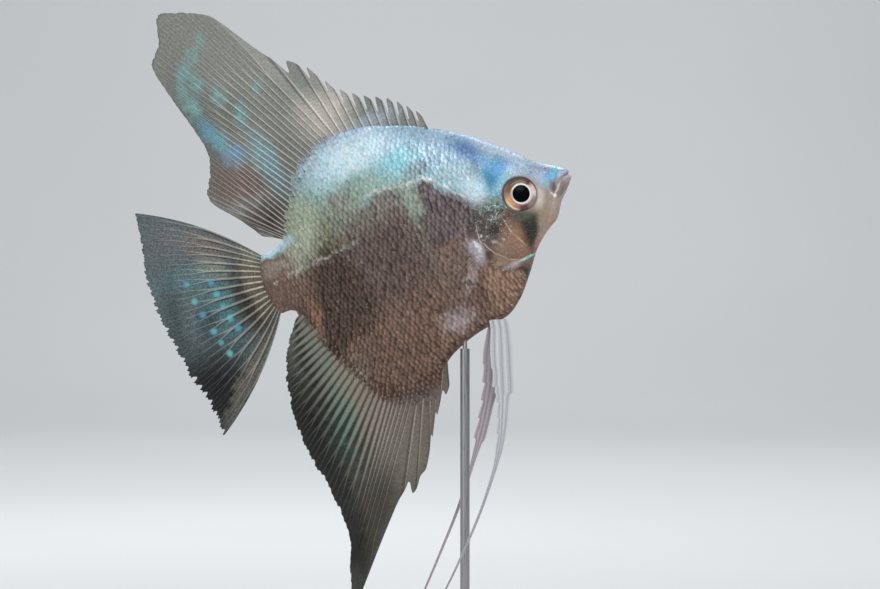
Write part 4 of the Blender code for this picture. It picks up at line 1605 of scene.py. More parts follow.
@dataclass
class RayFin:
    """A web over a fan of rays that branch towards the margin."""

    name: str
    surface: Surface
    rays: int
    cells: int
    rows: int
    spines: int = 0
    root_thickness: float = 0.7
    edge_thickness: float = 0.22
    ridge_height: float = 0.14
    ray_width: float = 0.22
    line_width: SmoothLine = SmoothLine(((0, 0.14), (1, 0.14)))
    gap_depth: SmoothLine = SmoothLine(((0, 0.0), (1, 0.0)))
    forks: tuple[float, ...] = (0.45, 0.75)
    fork_spread: float = 0.24
    fray: SmoothLine = SmoothLine(((0, 0.45), (1, 0.45)))
    spine_dip: float = 3.0
    spine_round: float = 1.0
    spine_peak: float = 0.5
    deepest_cut: float = 0.75
    buried: float = 1.5
    seed: int = 1

    def line_strength(self, ray: Array, out: Array) -> Array:
        """How much of a ray lies at a place: 1 on its middle, 0 in the web.

        Args:
            ray: Place across the fan, in rays.
            out: Place from root, 0, to margin, 1.

        Returns:
            The share at each place.
        """
        soft = np.floor(ray + 0.5) >= self.spines
        offset = ray - np.floor(ray + 0.5)
        width = np.full_like(out, self.ray_width)
        for level, fork in enumerate(self.forks):
            opened = np.where(soft, smooth_step(fork, min(1.0, fork + 0.3), out), 0.0)
            offset = np.abs(offset) - self.fork_spread * opened * 0.5 ** level
            width = width * (1.0 - 0.35 * opened)
        return np.exp(-(offset / width) ** 2 * 1.6)

    def reach_of(self, ray: Array) -> Array:
        """Measure the fin along its rays.

        Args:
            ray: Places across the fan, in rays.

        Returns:
            The full length at each place, in millimetres.
        """
        root = self.surface(ray, np.zeros_like(ray))
        tip = self.surface(ray, np.ones_like(ray))
        return np.sqrt(sum((b - a) ** 2 for a, b in zip(root, tip)))

    def margin(self, ray: Array, length: Array) -> Array:
        """Where the margin lies: spines stand free of it, branches fray it.

        Args:
            ray: Place across the fan, in rays.
            length: Full length there.

        Returns:
            The margin as a share of the full length.
        """
        part = ray - np.floor(ray)
        spiny = ray < self.spines - 0.999
        shoulder = self.spine_round * np.clip(1.0 - part / self.spine_peak, 0.0, 1.0) ** 2
        slit = smooth_step(self.spine_peak, 0.8, part)
        slit = slit * np.where(part < 0.8, 1.0, smooth_step(1.0, 0.84, part))
        notch = shoulder + self.spine_dip * slit + self.spine_round * smooth_step(0.84, 1.0, part)
        rng = np.random.default_rng(self.seed)
        ends = rng.random(self.rays * 8)
        lobes = 4.0 if len(self.forks) > 1 else 2.0
        branch = ends[np.clip(np.floor(ray * lobes + 0.5).astype(int), 0, len(ends) - 1)]
        gap = 1.0 - self.line_strength(ray, np.ones_like(ray))
        cut = np.where(spiny, notch, self.fray(ray) * (0.25 * gap + 0.3 * gap * branch + 0.75 * branch))
        return 1.0 - np.minimum(cut / np.maximum(length, 0.1), self.deepest_cut)

    def build(self, material: Material, slot: str = "fin_membrane") -> None:
        """Shape the fin and show it in place of its solid.

        Args:
            material: Its finish.
            slot: Not used.
        """
        columns = (self.rays - 1) * self.cells
        mesh, shares = closed_sheet(self.name, columns, self.rows)
        ray, along, face = shares[:, 0] * (self.rays - 1), shares[:, 1], shares[:, 2]
        length = self.reach_of(ray)
        start = -self.buried / np.maximum(length, self.buried)
        out = start + along * (self.margin(ray, length) - start)
        s, y, h = self.surface(ray, out)
        shown = np.clip(out, 0.0, 1.0)
        thick = (self.root_thickness - self.edge_thickness) * (1.0 - shown) ** 2
        ridge = self.ridge_height * self.line_strength(ray, shown) * (1.0 - 0.75 * shown)
        y = y + face * 0.5 * (self.edge_thickness + thick + ridge)
        shape_mesh(mesh, s, y, h)
        soft = smooth_step(self.spines - 0.6, self.spines - 0.4, ray)
        set_numbers(mesh, ray=ray, soft=soft, width=self.line_width(ray), gap=self.gap_depth(ray), out=shown)
        set_sheet_uv(mesh, shares)
        show(self.name + "_web", mesh, material, (self.name,))


DORSAL_RAYS, DORSAL_SPINES = 38, 12
DORSAL_ROOTS = SmoothLine((
    (0, 29.6), (11, 51.9), (15, 56.8), (21, 63.3), (27, 68.3), (33, 72), (37, 73.6)))
DORSAL_TIPS = (
    (0, 29.9, 27.7), (3, 35.5, 33.5), (6, 43.1, 37.6), (8, 48.3, 41.7), (9, 51.2, 46.2),
    (10, 54.7, 50.4), (11, 60.3, 53.6), (12, 71.9, 69.6), (14, 78, 72.4), (16, 83.5, 74),
    (19, 86.4, 66.5), (21, 89.7, 62.1), (24, 87.8, 53.1), (27, 85.2, 43.9), (30, 83.8, 36.9),
    (32, 85.3, 31.3), (34, 87.6, 26), (36, 81.6, 17.6), (37, 78, 12.3))
ANAL_RAYS, ANAL_SPINES = 33, 6
ANAL_ROOTS = SmoothLine((
    (0, 45.3), (5, 54.3), (11, 60.6), (17, 66), (23, 70.4), (28, 73.5), (32, 75.8)))
ANAL_TIPS = (
    (0, 46.6, -39.8), (1, 50.6, -43.4), (2, 54, -48.3), (3, 56.9, -53.4), (4, 63.4, -61.5),
    (5, 66.6, -61), (6, 87, -82.5), (7, 88, -81.5), (9, 85.9, -74.2), (12, 83.1, -65.1),
    (15, 83.8, -53.6), (18, 85.7, -44.3), (21, 86.2, -36.1), (24, 85.5, -27.5), (27, 83.6, -20.2),
    (30, 80.4, -14.1), (32, 77.4, -10.4))
CAUDAL_RAYS = 17
CAUDAL_TIPS = ((0, 106.5, 28.9), (1, 106.8, 24.4), (4, 108.6, 16), (6, 109.4, 9.8), (8, 109.4, 2.4),
               (10, 108.6, -5.7), (12, 107.1, -14.8), (14, 105.1, -23.9), (16, 104.4, -31.8))
DORSAL_MARKS = read_marks("""
front_beige 51.5 34.5 8 6 184 178 170 30 0.7
front_green 38 31.5 9 5 108 118 112 10 0.7 0.8
base_glow 43 29.6 11 2.2 158 168 180 -8 0.8 0.7
rear_grey 84 40 6 16 104 108 104 0 0.7
rear_dusk 80 27 7 5 112 98 92 20 0.6
base_dark 77 16 6 4 82 74 72 0 0.7 0.9
mid_grey 76 44 5 6 112 116 110 10 0.7 0.7
blue_band 70 29 2.6 7 138 178 186 -10 0.8 0.9
teal_1 82.1 57.7 1.6 2.2 124 168 166 20 0.9 0.8
teal_2 79.1 61.2 1.4 2 124 168 166 20 0.9 0.6
teal_3 84.5 53.5 1.5 2.4 124 168 166 10 0.9 0.7
teal_4 80.2 53.9 1.3 2.2 124 168 166 10 0.9 0.7
teal_5 83.4 48.8 1.7 2.6 124 168 166 0 0.9 0.9
teal_6 76.3 49.3 1.6 2.2 124 168 166 20 0.9 0.8
blue_1 82 42.6 1.8 2.4 96 160 186 -20 0.9 0.7
blue_2 80.2 38.6 1.8 2.6 104 170 184 -30 0.9 0.75
blue_3 77.6 34 2.2 2.6 112 160 190 -40 0.9 0.75
teal_7 72.6 43 1.6 3 124 168 166 10 0.9 0.8
teal_8 66.4 47.7 1.4 2 124 168 166 20 0.9 0.6
teal_9 76.1 63.8 1.2 2 124 168 166 20 0.9 0.5
""")
ANAL_MARKS = read_marks("""
front_mauve 57 -42 13 8 118 106 99 0 0.6
front_beige 64 -51 7 9 122 116 106 30 0.6
base_pale 70 -31 5 9 110 101 88 30 0.6
rear_pale 77.5 -25 5 12 100 106 97 -20 0.7
teal 75.5 -40 3.4 7 84 112 102 10 0.8 0.9
rear_smoke 88 -44 11 30 7 8 8 4 0.6
lobe_grey 75 -64 5 12 74 71 64 28 0.7
lobe_smoke 84 -66 5 20 12 12 11 8 0.7
tip 87 -81 5 7 66 66 62 20 0.7
""")
CAUDAL_MARKS = read_marks("""
base 86 -2 4.5 9 78 72 64 0 0.6
root 83.3 2 2.8 8 168 164 146 0 0.6
upper_beige 94 16 9 3 118 112 108 32 0.7
mid_teal 93.5 -2 4.5 9 84 118 122 0 0.7
upper_teal 99 8.5 8 2.6 92 122 126 6 0.8 0.8
lower_smoke 103 -21 12 11 22 26 28 -30 0.7
mid_smoke 98.2 -4 2.2 4 56 72 78 10 0.8 0.8
rear_dusk 88.6 -3 2 4.6 64 62 56 10 0.8 0.65
upper_grey 102 20 6 6 104 110 114 0 0.7 0.8
low_edge 92.6 -19.6 15 2 106 103 96 -46 0.6 0.8
margin_dusk 106.4 -3 2.6 11 48 58 62 10 0.8 0.6
upper_root 92 9 4 2.4 136 140 128 25 0.8 0.8
""")
SPOT_PLACES = ((99.9, 7.3), (99.5, 2.6), (98.7, -1.2), (97.5, -6.1), (96.7, -9.4), (95.6, -12.7),
               (94, 5.7), (93.7, 2.5), (93.1, -1), (92.5, -4.3), (91.5, -7.4))
SPOT_TONES = (paint(100, 174, 188), paint(114, 192, 194), paint(94, 160, 188), paint(106, 184, 194))


def edge_fin_surface(upper: bool, roots: SmoothLine, tips: Knots, rays: int, sway: float) -> Surface:
    """Make the surface of the dorsal or anal fin.

    Args:
        upper: True for the dorsal fin.
        roots: The s of each ray's root.
        tips: Ray, s and h of the tips.
        rays: How many rays there are.
        sway: How far the margin leans to one side.

    Returns:
        A function of ray and reach that gives s, y and h.
    """
    tip_s, tip_h = SmoothLine(tips, 1), SmoothLine(tips, 2)

    def surface(ray: Array, out: Array) -> Places:
        """Place each ray and reach.

        Args:
            ray: Places across the fan, in rays.
            out: Places from root, 0, to margin, 1.

        Returns:
            Their s, y and h.
        """
        root_s, root_h = BODY.edge_root(roots(ray), upper, -0.4)
        y = sway * out * np.abs(out) * np.sin(math.pi * ray / rays)
        return root_s + (tip_s(ray) - root_s) * out, y, root_h + (tip_h(ray) - root_h) * out
    return surface


def caudal_surface(ray: Array, out: Array) -> Places:
    """Tail fin: a fan from the rounded end of the tail stalk.

    Args:
        ray: Place across the fan.
        out: Place from root to margin.

    Returns:
        The s, y and h.
    """
    clearance, sweep, bow, sway = 0.4, math.radians(78.0), 0.055, 1.3
    spread = 1.0 - 2.0 * ray / (CAUDAL_RAYS - 1)
    half_height = 0.5 * (BODY.back(BODY.length) - BODY.belly(BODY.length))
    root_s = BODY.length + (BODY.tail_lobe + clearance) * np.cos(sweep * spread)
    root_h = BODY.axis + (half_height + clearance) * np.sin(sweep * spread)
    along_s = SmoothLine(CAUDAL_TIPS, 1)(ray) - root_s
    along_h = SmoothLine(CAUDAL_TIPS, 2)(ray) - root_h
    bowed = bow * spread * 4.0 * out * (1.0 - out)
    y = sway * out * np.abs(out) * np.cos(1.5 * math.pi * ray / CAUDAL_RAYS)
    return root_s + along_s * out - along_h * bowed, y, root_h + along_h * out + along_s * bowed


PELVIC_PATHS = {
    Flank.RIGHT: ((0, 29.3, -28.9), (1, 31.6, -36.2), (2, 34.3, -44.6), (3, 36.9, -51.5), (4, 40.4, -58.6),
                  (5, 48.2, -69.2), (6, 59.3, -81.2), (7, 76, -97)),
    Flank.LEFT: ((0, 29.9, -28.9), (1, 33.2, -35), (2, 37, -43), (3, 41.5, -50.6), (4, 47.1, -58.9),
                 (5, 54.6, -68.7), (6, 64.6, -79.9), (7, 79.4, -95.6))}
PELVIC_WIDTHS = {
    Flank.RIGHT: ((0, 2.3), (1, 2.75), (2.05, 2.75), (2.2, 1.9), (3, 1.5), (3.9, 0.95), (4.5, 0.5), (5, 0.4),
                  (6, 0.3), (7, 0.18)),
    Flank.LEFT: ((0, 2.2), (1, 2.5), (2, 2.1), (2.6, 1.65), (3.45, 1.5), (3.6, 1), (4.2, 0.5), (5, 0.38),
                 (6, 0.3), (7, 0.18))}


@dataclass
class PelvicFin:
    """A blade of a few long rays that narrows to a trailing filament."""

    side: Flank
    cells: int = 30
    rows: int = 240
    spread: SmoothLine = SmoothLine(((0, 0.95), (2, 3), (4, 5.2), (7, 5.6)))
    jags: float = 0.34
    ray_count: int = 3
    ray_width: float = 0.4
    ridge_height: float = 0.14
    thickness: float = 0.3
    tucked: float = 1.2

    def build(self, material: Material) -> None:
        """Shape the fin and show it in place of its solid.

        Args:
            material: Its finish.
        """
        path = PELVIC_PATHS[self.side]
        mid_s, mid_h = SmoothLine(path, 1), SmoothLine(path, 2)
        name = "pelvic_fin_" + self.side.label
        mesh, shares = closed_sheet(name, self.cells, self.rows)
        across, along, face = shares[:, 0] * 2.0 - 1.0, shares[:, 1], shares[:, 2]
        station = along * path[-1][0]
        step = 0.1
        run_s, run_h = (middle(station + step) - middle(station - step) for middle in (mid_s, mid_h))
        size = np.hypot(run_s, run_h)
        width = SmoothLine(PELVIC_WIDTHS[self.side])(station)
        jagged = smooth_step(1.0, 2.0, station) * smooth_step(4.0, 3.7, station)
        saw = (1.0 - (station * 1.9 + 0.35) % 1.0) * jagged
        front_room = smooth_step(2.3, 2.2, station) if self.side is Flank.RIGHT else 1.0
        shift = width * across * np.where(across > 0.0, 1.0 - self.jags * saw, 0.9 + 0.1 * front_room)
        s = mid_s(station) - run_h / size * shift
        h = mid_h(station) + run_s / size * shift + self.tucked * smooth_step(0.15, 0.0, station)
        ridge = 0.5 + 0.5 * np.cos(math.pi * (across + 1.0) * self.ray_count)
        ridge = np.maximum(ridge, smooth_step(3.4, 4.0, station))
        lean = self.spread(station) + 0.25 * np.sin(across * 2.0) * smooth_step(0.0, 1.5, station)
        thick = self.thickness + self.ridge_height * ridge * smooth_step(7.4, 5.0, station)
        y = self.side.value * lean + face * 0.5 * thick
        shape_mesh(mesh, s, y, h)
        none = np.zeros_like(along)
        set_numbers(mesh, ray=(across + 1.0) * 0.5 * self.ray_count, soft=none, width=none + self.ray_width,
                    gap=none, out=none)
        set_sheet_uv(mesh, shares)
        show(name + "_blade", mesh, material, (name,))


def pectoral_surface(side: Flank) -> Surface:
    """Make a pectoral fin's surface: a rounded fan that stands a little off the flank.

    Args:
        side: The flank.

    Returns:
        A function of ray and reach that gives s, y and h.
    """
    rays, top, bottom = 11, (29.0, -8.4), (29.9, -11.6)
    sweep = (math.radians(16.0), math.radians(-72.0))
    lengths = SmoothLine(((0, 13), (3, 16.5), (6, 16), (10, 10)))
    stand_out, half_thickness, clearance = math.radians(24.0), 0.35, 0.4

    def surface(ray: Array, out: Array) -> Places:
        """Place each ray and reach.

        Args:
            ray: Places across the fan, in rays.
            out: Places from root, 0, to margin, 1.

        Returns:
            Their s, y and h.
        """
        share = ray / (rays - 1)
        root_s, root_h = (top[i] + (bottom[i] - top[i]) * share for i in range(2))
        slope = sweep[0] + (sweep[1] - sweep[0]) * share
        length = lengths(ray) * out
        flat = length * math.cos(stand_out)
        base = BODY.flank(root_s, root_h) + half_thickness + clearance
        y = side.value * (base + length * math.sin(stand_out))
        return root_s + flat * np.cos(slope), y, root_h + flat * np.sin(slope)
    return surface


class Fins:
    """All seven fins with their finishes."""

    def __init__(self, palette: Palette) -> None:
        """Keep the shared node groups."""
        self.palette = palette

    def dorsal(self) -> None:
        """The tall swept dorsal fin, spiny in front."""
        finish = FinFinish(self.palette, FinKind.DORSAL, paint(132, 134, 128), paint(206, 196, 186),
                           fork=0.42, gap_reach=0.28, marks=DORSAL_MARKS)
        surface = edge_fin_surface(True, DORSAL_ROOTS, DORSAL_TIPS, DORSAL_RAYS, 1.6)
        RayFin("dorsal_fin", surface, DORSAL_RAYS, 14, 64, DORSAL_SPINES, forks=(0.5,), spine_dip=4.2,
               line_width=SmoothLine(((0, 0.13), (12, 0.13), (28, 0.2), (37, 0.28))),
               gap_depth=SmoothLine(((0, 0), (14, 0.1), (26, 0.6), (37, 0.85))),
               seed=3).build(finish.build())

    def anal(self) -> None:
        """The anal fin, with its long front lobe."""
        finish = FinFinish(self.palette, FinKind.ANAL, paint(92, 92, 84), paint(180, 178, 166), fork=0.6,
                           taper=0.75, ray_gain=1.6, ray_share=0.15, gap_reach=0.6, margin_opacity=0.85,
                           marks=ANAL_MARKS)
        surface = edge_fin_surface(False, ANAL_ROOTS, ANAL_TIPS, ANAL_RAYS, -1.8)
        RayFin("anal_fin", surface, ANAL_RAYS, 14, 64, ANAL_SPINES, forks=(0.5,),
               fray=SmoothLine(((0, 0.8), (1, 0.8))), spine_peak=0.3,
               line_width=SmoothLine(((0, 0.14), (6, 0.16), (14, 0.55), (32, 0.62))),
               gap_depth=SmoothLine(((0, 0), (8, 0.1), (14, 0.8), (32, 0.95))),
               seed=4).build(finish.build())

    def caudal(self) -> None:
        """The tail fin, with two rows of turquoise spots."""
        spots = tuple(Mark(f"spot_{i}", place, (0.62 + 0.07 * (i * 5 % 4), 0.66 + 0.06 * (i * 3 % 4)),
                           SPOT_TONES[i % 4], 0, 0.65, 0.85) for i, place in enumerate(SPOT_PLACES))
        finish = FinFinish(self.palette, FinKind.CAUDAL, paint(92, 106, 109), paint(190, 180, 164),
                           fork=0.36, second_fork=0.64, taper=0.84, ray_gain=1.35, gap_reach=0.22,
                           shade=0.85, grain=0.38, marks=CAUDAL_MARKS, spots=spots)
        RayFin("caudal_fin", caudal_surface, CAUDAL_RAYS, 24, 64, root_thickness=0.9, ridge_height=0.12,
               forks=(0.3, 0.62), fray=SmoothLine(((0, 0.5), (7, 0.7), (9, 1.3), (16, 1.5))),
               line_width=SmoothLine(((0, 0.3), (2, 0.22), (14, 0.22), (16, 0.34))),
               gap_depth=SmoothLine(((0, 0), (3, 0.7), (8, 0.9), (13, 0.8), (16, 0.1))),
               seed=5).build(finish.build())

    def paired(self) -> None:
        """Pelvic blades and glass-clear pectoral fans."""
        pectoral = FinFinish(self.palette, FinKind.PECTORAL, paint(150, 138, 128), paint(190, 178, 168),
                             0.04, 0.02, 0.16, fork=0.4, shade=0.0).build()
        # Both blades share one colour; the left blade, on the far side, gets a copy painted a little darker
        # and mauver as painted shade.
        silver_lit_and_shaded = {Flank.RIGHT: (paint(184, 186, 190), paint(214, 216, 220)),
                  Flank.LEFT: (paint(184, 176, 180), paint(214, 208, 212))}
        for side, (web, ray) in silver_lit_and_shaded.items():
            pelvic = FinFinish(self.palette, FinKind.PELVIC, web, ray, ray_gain=1.1, shade=0.3,
                               grain=0.06, margin_opacity=0.96).build()
            PelvicFin(side).build(pelvic)
            RayFin("pectoral_fin_" + side.label, pectoral_surface(side), 11, 12, 40, forks=(0.4,),
                   root_thickness=0.4, edge_thickness=0.12, ridge_height=0.1, buried=1.2,
                   line_width=SmoothLine(((0, 0.12), (1, 0.12))), seed=6).build(pectoral, "fin_clear")

    def build(self) -> None:
        """Build every fin."""
        self.dorsal()
        self.anal()
        self.caudal()
        self.paired()


# ---- eyes

@dataclass(frozen=True)
class EyeBand:
    """A ring of colour in the eye, or an arc of one that faces some way, in degrees."""

    inner: float
    outer: float
    colour: Colour
    towards: float = 0.0
    spread: float = 180.0
    soft: float = 0.12
    strength: float = 1.0


def read_bands(table: str) -> tuple[EyeBand, ...]:
    """Read the eye's rings from a table.

    Args:
        table: One ring a line: its inner and outer radius, its display colour in three numbers and
            then, as far as they are given, the way it faces, its spread, softness and strength.

    Returns:
        The rings.
    """
    bands = []
    for line in table.strip().splitlines():
        inner, outer, red, green, blue, *rest = (float(cell) for cell in line.split())
        bands.append(EyeBand(inner, outer, paint(red, green, blue), *rest))
    return tuple(bands)


# Two dark arcs are painted shade from the socket: the one from 2.9 to 4.6 facing up darkens the brown upper
# iris further, and the one from 4.3 to 6 facing up and back lies under the socket's upper edge.
EYE_BANDS = read_bands("""
2.6 4.6 172 126 122 160 45 0.25 0.9
2.6 3.9 116 92 60 130 20 0.25 0.9
2.9 4.6 94 84 78 75 48 0.25 0.95
2.9 4.3 92 62 62 25 18 0.3 0.9
3.15 3.3 198 172 162 85 32 0.1 0.8
2.85 4.5 104 68 62 260 32 0.25 0.95
2.8 3.8 190 132 130 224 12 0.25 0.9
2.9 4.2 222 172 116 196 14 0.25 0.95
3.75 4.3 255 236 202 214 22 0.15 0.95
2.8 3.9 238 216 202 352 26 0.3 0.9
2.8 4.5 150 134 132 308 18 0.3 0.9
4.3 6 96 90 88 110 80 0.12 0.9
4.3 6 168 150 138 290 80 0.12 0.8
2.1 2.62 234 229 226 0 180 0.1
2.6 2.95 214 208 206 335 50 0.12 0.8
2.15 2.8 176 166 150 165 24 0.1 0.7
-1 2.2 6 7 10 0 180 0.06
""")


# The marks above the eye and above-behind it are painted shade in the skin's creases there.
RIM_MARKS = (("rim_top_shade", -0.5, 4.4, (3.0, 1.4), (128, 130, 126)),
             ("rim_shade", 3.6, 1.8, (3.4, 4.4), (84, 100, 118)),
             ("rim_under", 2.2, -4.2, (2.6, 1.6), (92, 96, 84)),
             ("rim_front", -4.4, -0.5, (1.8, 3.6), (186, 174, 166)))


@dataclass
class Eye:
    """A flattened eyeball with its iris and pupil, in a fleshy rim."""

    side: Flank
    palette: Palette
    radius: float = 4.4
    half_depth: float = 1.9
    sideways: float = 4.5
    toe_in: float = math.radians(10.0)
    pupil: float = 0.49
    lens_rise: float = 0.04
    lens_groove: float = 0.06
    plane_side: float = 10.0
    rim_radius: float = 4.5
    rim_thickness: float = 0.18
    rim_height: float = 0.22
    rim_inset: float = 0.05
    spin_radius: float = 10.0

    def eyeball_finish(self) -> Material:
        """Make the black pupil, bright ring and coppery iris, under a wet gloss.

        Returns:
            The material.
        """
        material, graph, shader = new_material("eye_" + self.side.label)
        spot = graph.add("UVMap", uv_map="eye_plane").outputs[0]
        plane = graph.vector("MULTIPLY", graph.vector("SUBTRACT", spot, (0.5, 0.5, 0.0)),
                             (self.plane_side, self.plane_side, 0.0))
        radius = graph.vector("LENGTH", plane)
        towards = graph.vector("NORMALIZE", plane)
        fibres = graph.noise(graph.vector("MULTIPLY", towards, (9.0, 9.0, 0.0)), 1.2, 3.0)
        colour = graph.mix(graph.ease(fibres, 0.35, 0.65), paint(136, 104, 98), paint(200, 172, 160))
        for band in EYE_BANDS:
            ring = graph.times(graph.ease(radius, band.inner - band.soft, band.inner + band.soft),
                               graph.ease(radius, band.outer + band.soft, band.outer - band.soft))
            if band.spread < 180.0:
                angle = math.radians(band.towards)
                facing = graph.vector("DOT_PRODUCT", towards, (math.cos(angle), math.sin(angle), 0.0))
                far, near = (math.cos(math.radians(band.spread + step)) for step in (18.0, -18.0))
                ring = graph.times(ring, graph.ease(facing, far, near))
            colour = graph.mix(graph.times(ring, band.strength), colour, band.colour)
        graph.wire(shader, {"Base Color": colour, "Roughness": 0.35, "Specular IOR Level": 0.02,
                            "Coat Weight": 0.04, "Coat Roughness": 0.04})
        return material

    def rim_finish(self) -> Material:
        """Make the pale moist skin round the eye, with painted shade in its creases above the eye and
        above-behind it.

        Returns:
            The material.
        """
        material, graph, shader = new_material("eye_rim_" + self.side.label)
        place = graph.group(self.palette.body_place).outputs["Place"]
        marks = tuple(Mark(name, (EYE_CENTRE[0] + s, EYE_CENTRE[1] + h), size, paint(*tone))
                      for name, s, h, size, tone in RIM_MARKS)
        colour = self.palette.lay_marks(graph, place, paint(150, 140, 134), marks)
        graph.wire(shader, {"Base Color": colour, "Roughness": 0.32})
        return material

    def build(self) -> None:
        """Shape the eyeball and its rim."""
        self.build_ball()
        self.build_rim()

    def build_ball(self) -> None:
        """The eyeball: a flattened ball with a raised lens in the pupil."""
        bm = bmesh.new()
        bmesh.ops.create_uvsphere(bm, u_segments=72, v_segments=64, radius=1.0)
        mesh = finish_mesh(bm, "eyeball_" + self.side.label)
        ball = read_points(mesh)
        share = np.hypot(ball[:, 0], ball[:, 1])
        lens = self.lens_rise * smooth_step(self.pupil, 0.0, share)
        lens -= self.lens_groove * smooth_step(0.08, 0.0, np.abs(share - self.pupil - 0.03))
        outward = ball[:, 2] * self.half_depth + np.where(ball[:, 2] > 0.0, lens, 0.0)
        ahead, up = ball[:, 0] * self.radius, ball[:, 1] * self.radius
        turned_ahead = ahead * math.cos(self.toe_in) + outward * math.sin(self.toe_in)
        turned_out = outward * math.cos(self.toe_in) - ahead * math.sin(self.toe_in)
        shape_mesh(mesh, EYE_CENTRE[0] - turned_ahead, self.side.value * (self.sideways + turned_out),
                   EYE_CENTRE[1] + up)
        set_uv(mesh, "eye_plane", 0.5 + np.stack([ahead, up], axis=-1) / self.plane_side)
        show(mesh.name, mesh, self.eyeball_finish(), ("eye_" + self.side.label,))

    def build_rim(self) -> None:
        """The soft rim of skin round the eyeball."""
        bm = bmesh.new()
        bmesh.ops.create_circle(bm, segments=12, radius=1.0)
        upright = Vector((0, 0, 1)).to_track_quat("Y", "Z").to_matrix()
        bmesh.ops.rotate(bm, verts=bm.verts, cent=Vector(), matrix=upright)
        bmesh.ops.spin(bm, geom=list(bm.verts) + list(bm.edges), cent=Vector((-self.spin_radius, 0.0, 0.0)),
                       axis=Vector((0.0, 0.0, 1.0)), dvec=Vector(), angle=2.0 * math.pi, steps=96,
                       use_merge=True)
        bmesh.ops.remove_doubles(bm, verts=bm.verts, dist=1e-5)
        mesh = finish_mesh(bm, "eye_rim_" + self.side.label)
        ring = read_points(mesh)
        around = np.arctan2(ring[:, 1], ring[:, 0] + self.spin_radius)
        outward = np.hypot(ring[:, 0] + self.spin_radius, ring[:, 1]) - self.spin_radius
        reach = self.rim_radius + outward * self.rim_thickness
        s = EYE_CENTRE[0] + reach * np.cos(around)
        h = EYE_CENTRE[1] + reach * np.sin(around)
        y = BODY.flank(s, h) + ring[:, 2] * self.rim_height - self.rim_inset
        shape_mesh(mesh, s, self.side.value * y, h)
        show(mesh.name, mesh, self.rim_finish())


# ---- stand, floor, light and camera

@dataclass
class Stand:
    """The hardwood base and steel rod, with the pin that enters the belly."""

    pin_radius: float = 0.8 * MM
    pin_reach: float = 3.5 * MM

    def wood(self) -> Material:
        """Make dark oiled hardwood with a long grain.

        Returns:
            The material.
        """
        material, graph, shader = new_material("oiled_wood")
        spot = graph.add("TexCoord").outputs["Object"]
        stretched = graph.add("Mapping", {"Vector": spot, "Scale": (40.0, 420.0, 420.0)}).outputs[0]
        grain = graph.noise(stretched, 1.0, 6.0)
        colour = graph.mix(graph.ease(grain, 0.3, 0.7), paint(44, 34, 30), paint(86, 64, 50))
        bump = graph.add("Bump", {"Height": grain, "Strength": 0.3, "Distance": 0.0001})
        graph.wire(shader, {"Base Color": colour, "Roughness": graph.ease(grain, 0.3, 0.7, 0.5, 0.36),
                            "Normal": bump.outputs["Normal"]})
        return material

    def steel(self) -> Material:
        """Make brushed stainless steel.

        Returns:
            The material.
        """
        material, graph, shader = new_material("brushed_steel")
        spot = graph.add("TexCoord").outputs["Object"]
        stretched = graph.add("Mapping", {"Vector": spot, "Scale": (6000.0, 6000.0, 150.0)}).outputs[0]
        brush = graph.noise(stretched, 1.0, 3.0)
        graph.wire(shader, {"Base Color": graph.mix(brush, paint(150, 150, 152), paint(196, 196, 198)),
                            "Roughness": graph.ease(brush, 0.3, 0.7, 0.24, 0.38), "Metallic": 1.0})
        return material

    def build(self) -> None:
        """Dress the base and rod and add the pin."""
        wood, steel = self.wood(), self.steel()
        for node, material in (("stand_base", wood), ("stand_rod", steel)):
            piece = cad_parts[node]
            piece.data.materials.clear()
            piece.data.materials.append(material)
        low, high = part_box("stand_rod")
        bm = bmesh.new()
        bmesh.ops.create_cone(bm, cap_ends=True, segments=24, radius1=self.pin_radius,
                              radius2=self.pin_radius * 0.5, depth=2.0 * self.pin_reach)
        bmesh.ops.translate(bm, verts=bm.verts, vec=Vector((0.5 * (low.x + high.x), 0.0, high.z)))
        show("stand_pin", finish_mesh(bm, "stand_pin"), steel, sharp_angle=40.0)


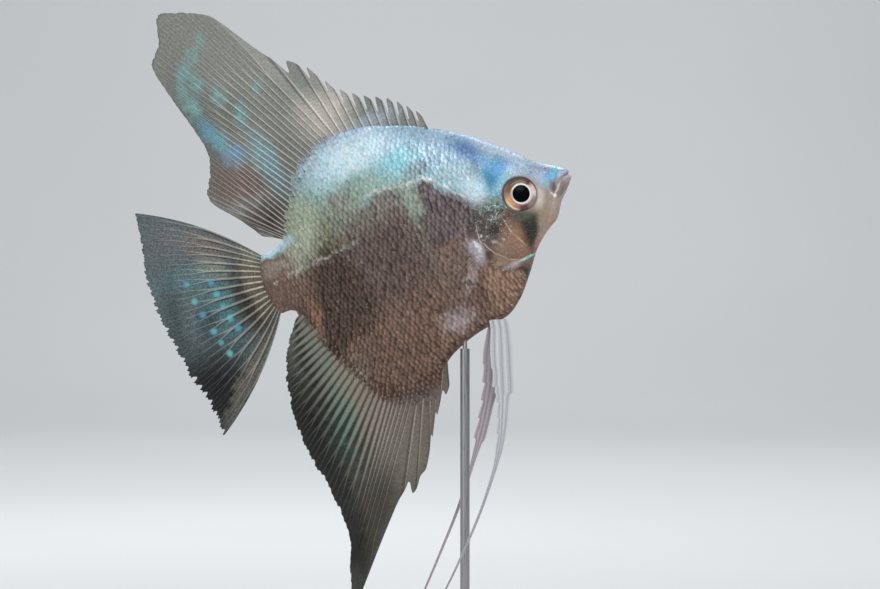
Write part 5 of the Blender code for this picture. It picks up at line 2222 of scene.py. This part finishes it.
@dataclass
class Studio:
    """A pale sweep, soft lights and the camera."""

    sweep_width: float = 3.0
    sweep_front: float = -1.6
    sweep_bend: float = 1.4
    sweep_length: float = 5.1
    sweep_radius: float = 0.5
    distance: float = 0.7
    lens: float = 113.8
    look_at: tuple[float, float] = (0.0222, 0.1032)
    sky: tuple[float, float, float, float] = (0.8, 0.85, 0.9, 1.0)
    sky_strength: float = 0.28

    def sweep(self) -> None:
        """A pale floor that curves up into a backdrop."""
        bm = bmesh.new()
        bmesh.ops.create_grid(bm, x_segments=2, y_segments=60, size=0.5)
        for corner in bm.verts:
            travel = (corner.co.y + 0.5) * self.sweep_length
            flat = self.sweep_bend - self.sweep_front
            quarter = self.sweep_radius * math.pi / 2.0
            turn = min(max(travel - flat, 0.0), quarter) / self.sweep_radius
            rise = max(travel - flat - quarter, 0.0)
            y = self.sweep_front + min(travel, flat) + self.sweep_radius * math.sin(turn)
            z = self.sweep_radius * (1.0 - math.cos(turn)) + rise
            corner.co = Vector((corner.co.x * self.sweep_width, y, z))
        mesh = finish_mesh(bm, "sweep")
        mesh.shade_smooth()
        material, graph, shader = new_material("pale_paper")
        spot = graph.add("TexCoord").outputs["Object"]
        paper = graph.mix(graph.noise(spot, 3.0), paint(196, 198, 200), paint(206, 207, 208))
        graph.wire(shader, {"Base Color": paper, "Roughness": 0.85})
        mesh.materials.append(material)
        floor = bpy.data.objects.new("sweep", mesh)
        bpy.context.scene.collection.objects.link(floor)

    def lamp(self, name: str, place: tuple[float, float, float], aim: tuple[float, float, float], size: float,
             watts: float, colour: Colour = (1.0, 1.0, 1.0)) -> None:
        """A square soft light.

        Args:
            name: Its name.
            place: Where it hangs, in metres.
            aim: The point that it faces.
            size: Its side.
            watts: Its power.
            colour: Its colour.
        """
        light = bpy.data.lights.new(name, "AREA")
        light.size, light.energy, light.color = size, watts, colour
        thing = bpy.data.objects.new(name, light)
        thing.location = place
        thing.rotation_euler = (Vector(aim) - Vector(place)).to_track_quat("-Z", "Y").to_euler()
        thing.visible_camera = False
        bpy.context.scene.collection.objects.link(thing)

    def build(self) -> None:
        """Set up floor, lights, camera and display transform."""
        self.sweep()
        middle = (0.0, 0.0, 0.10)
        self.lamp("key_light", (0.20, -0.65, 0.58), middle, 0.40, 4.2)
        self.lamp("fill_light", (-0.55, -0.7, 0.15), middle, 0.6, 1.0)
        self.lamp("back_light", (-0.2, 0.5, 0.5), middle, 0.4, 1.2)
        self.lamp("backdrop_light", (0.0, 0.7, 1.3), (0.0, 1.3, 0.0), 0.8, 17.0)
        world = bpy.data.worlds.new("studio")
        world.use_nodes = True
        background = world.node_tree.nodes["Background"]
        Graph(world.node_tree).wire(background, {"Color": self.sky, "Strength": self.sky_strength})
        scene = bpy.context.scene
        scene.world = world
        scene.view_settings.view_transform = "Standard"
        camera = bpy.data.cameras.new("camera")
        camera.lens, camera.sensor_width = self.lens, 36.0
        camera.clip_start, camera.clip_end = 0.01, 20.0
        thing = bpy.data.objects.new("camera", camera)
        thing.location = (self.look_at[0], -self.distance, self.look_at[1])
        thing.rotation_euler = (math.radians(90.0), 0.0, 0.0)
        scene.collection.objects.link(thing)
        scene.camera = thing


def main() -> None:
    """Build every piece in order and report it."""
    logging.basicConfig(level=logging.INFO, format="%(name)s %(message)s")
    Studio().build()
    palette = Palette()
    skin = SkinFinish(palette).build()
    Skin().build(skin)
    ScaleCoat().build(CoatFinish(palette).build())
    for side in Flank:
        Eye(side, palette).build()
    Fins(palette).build()
    Stand().build()


if __name__ == "__main__":
    main()
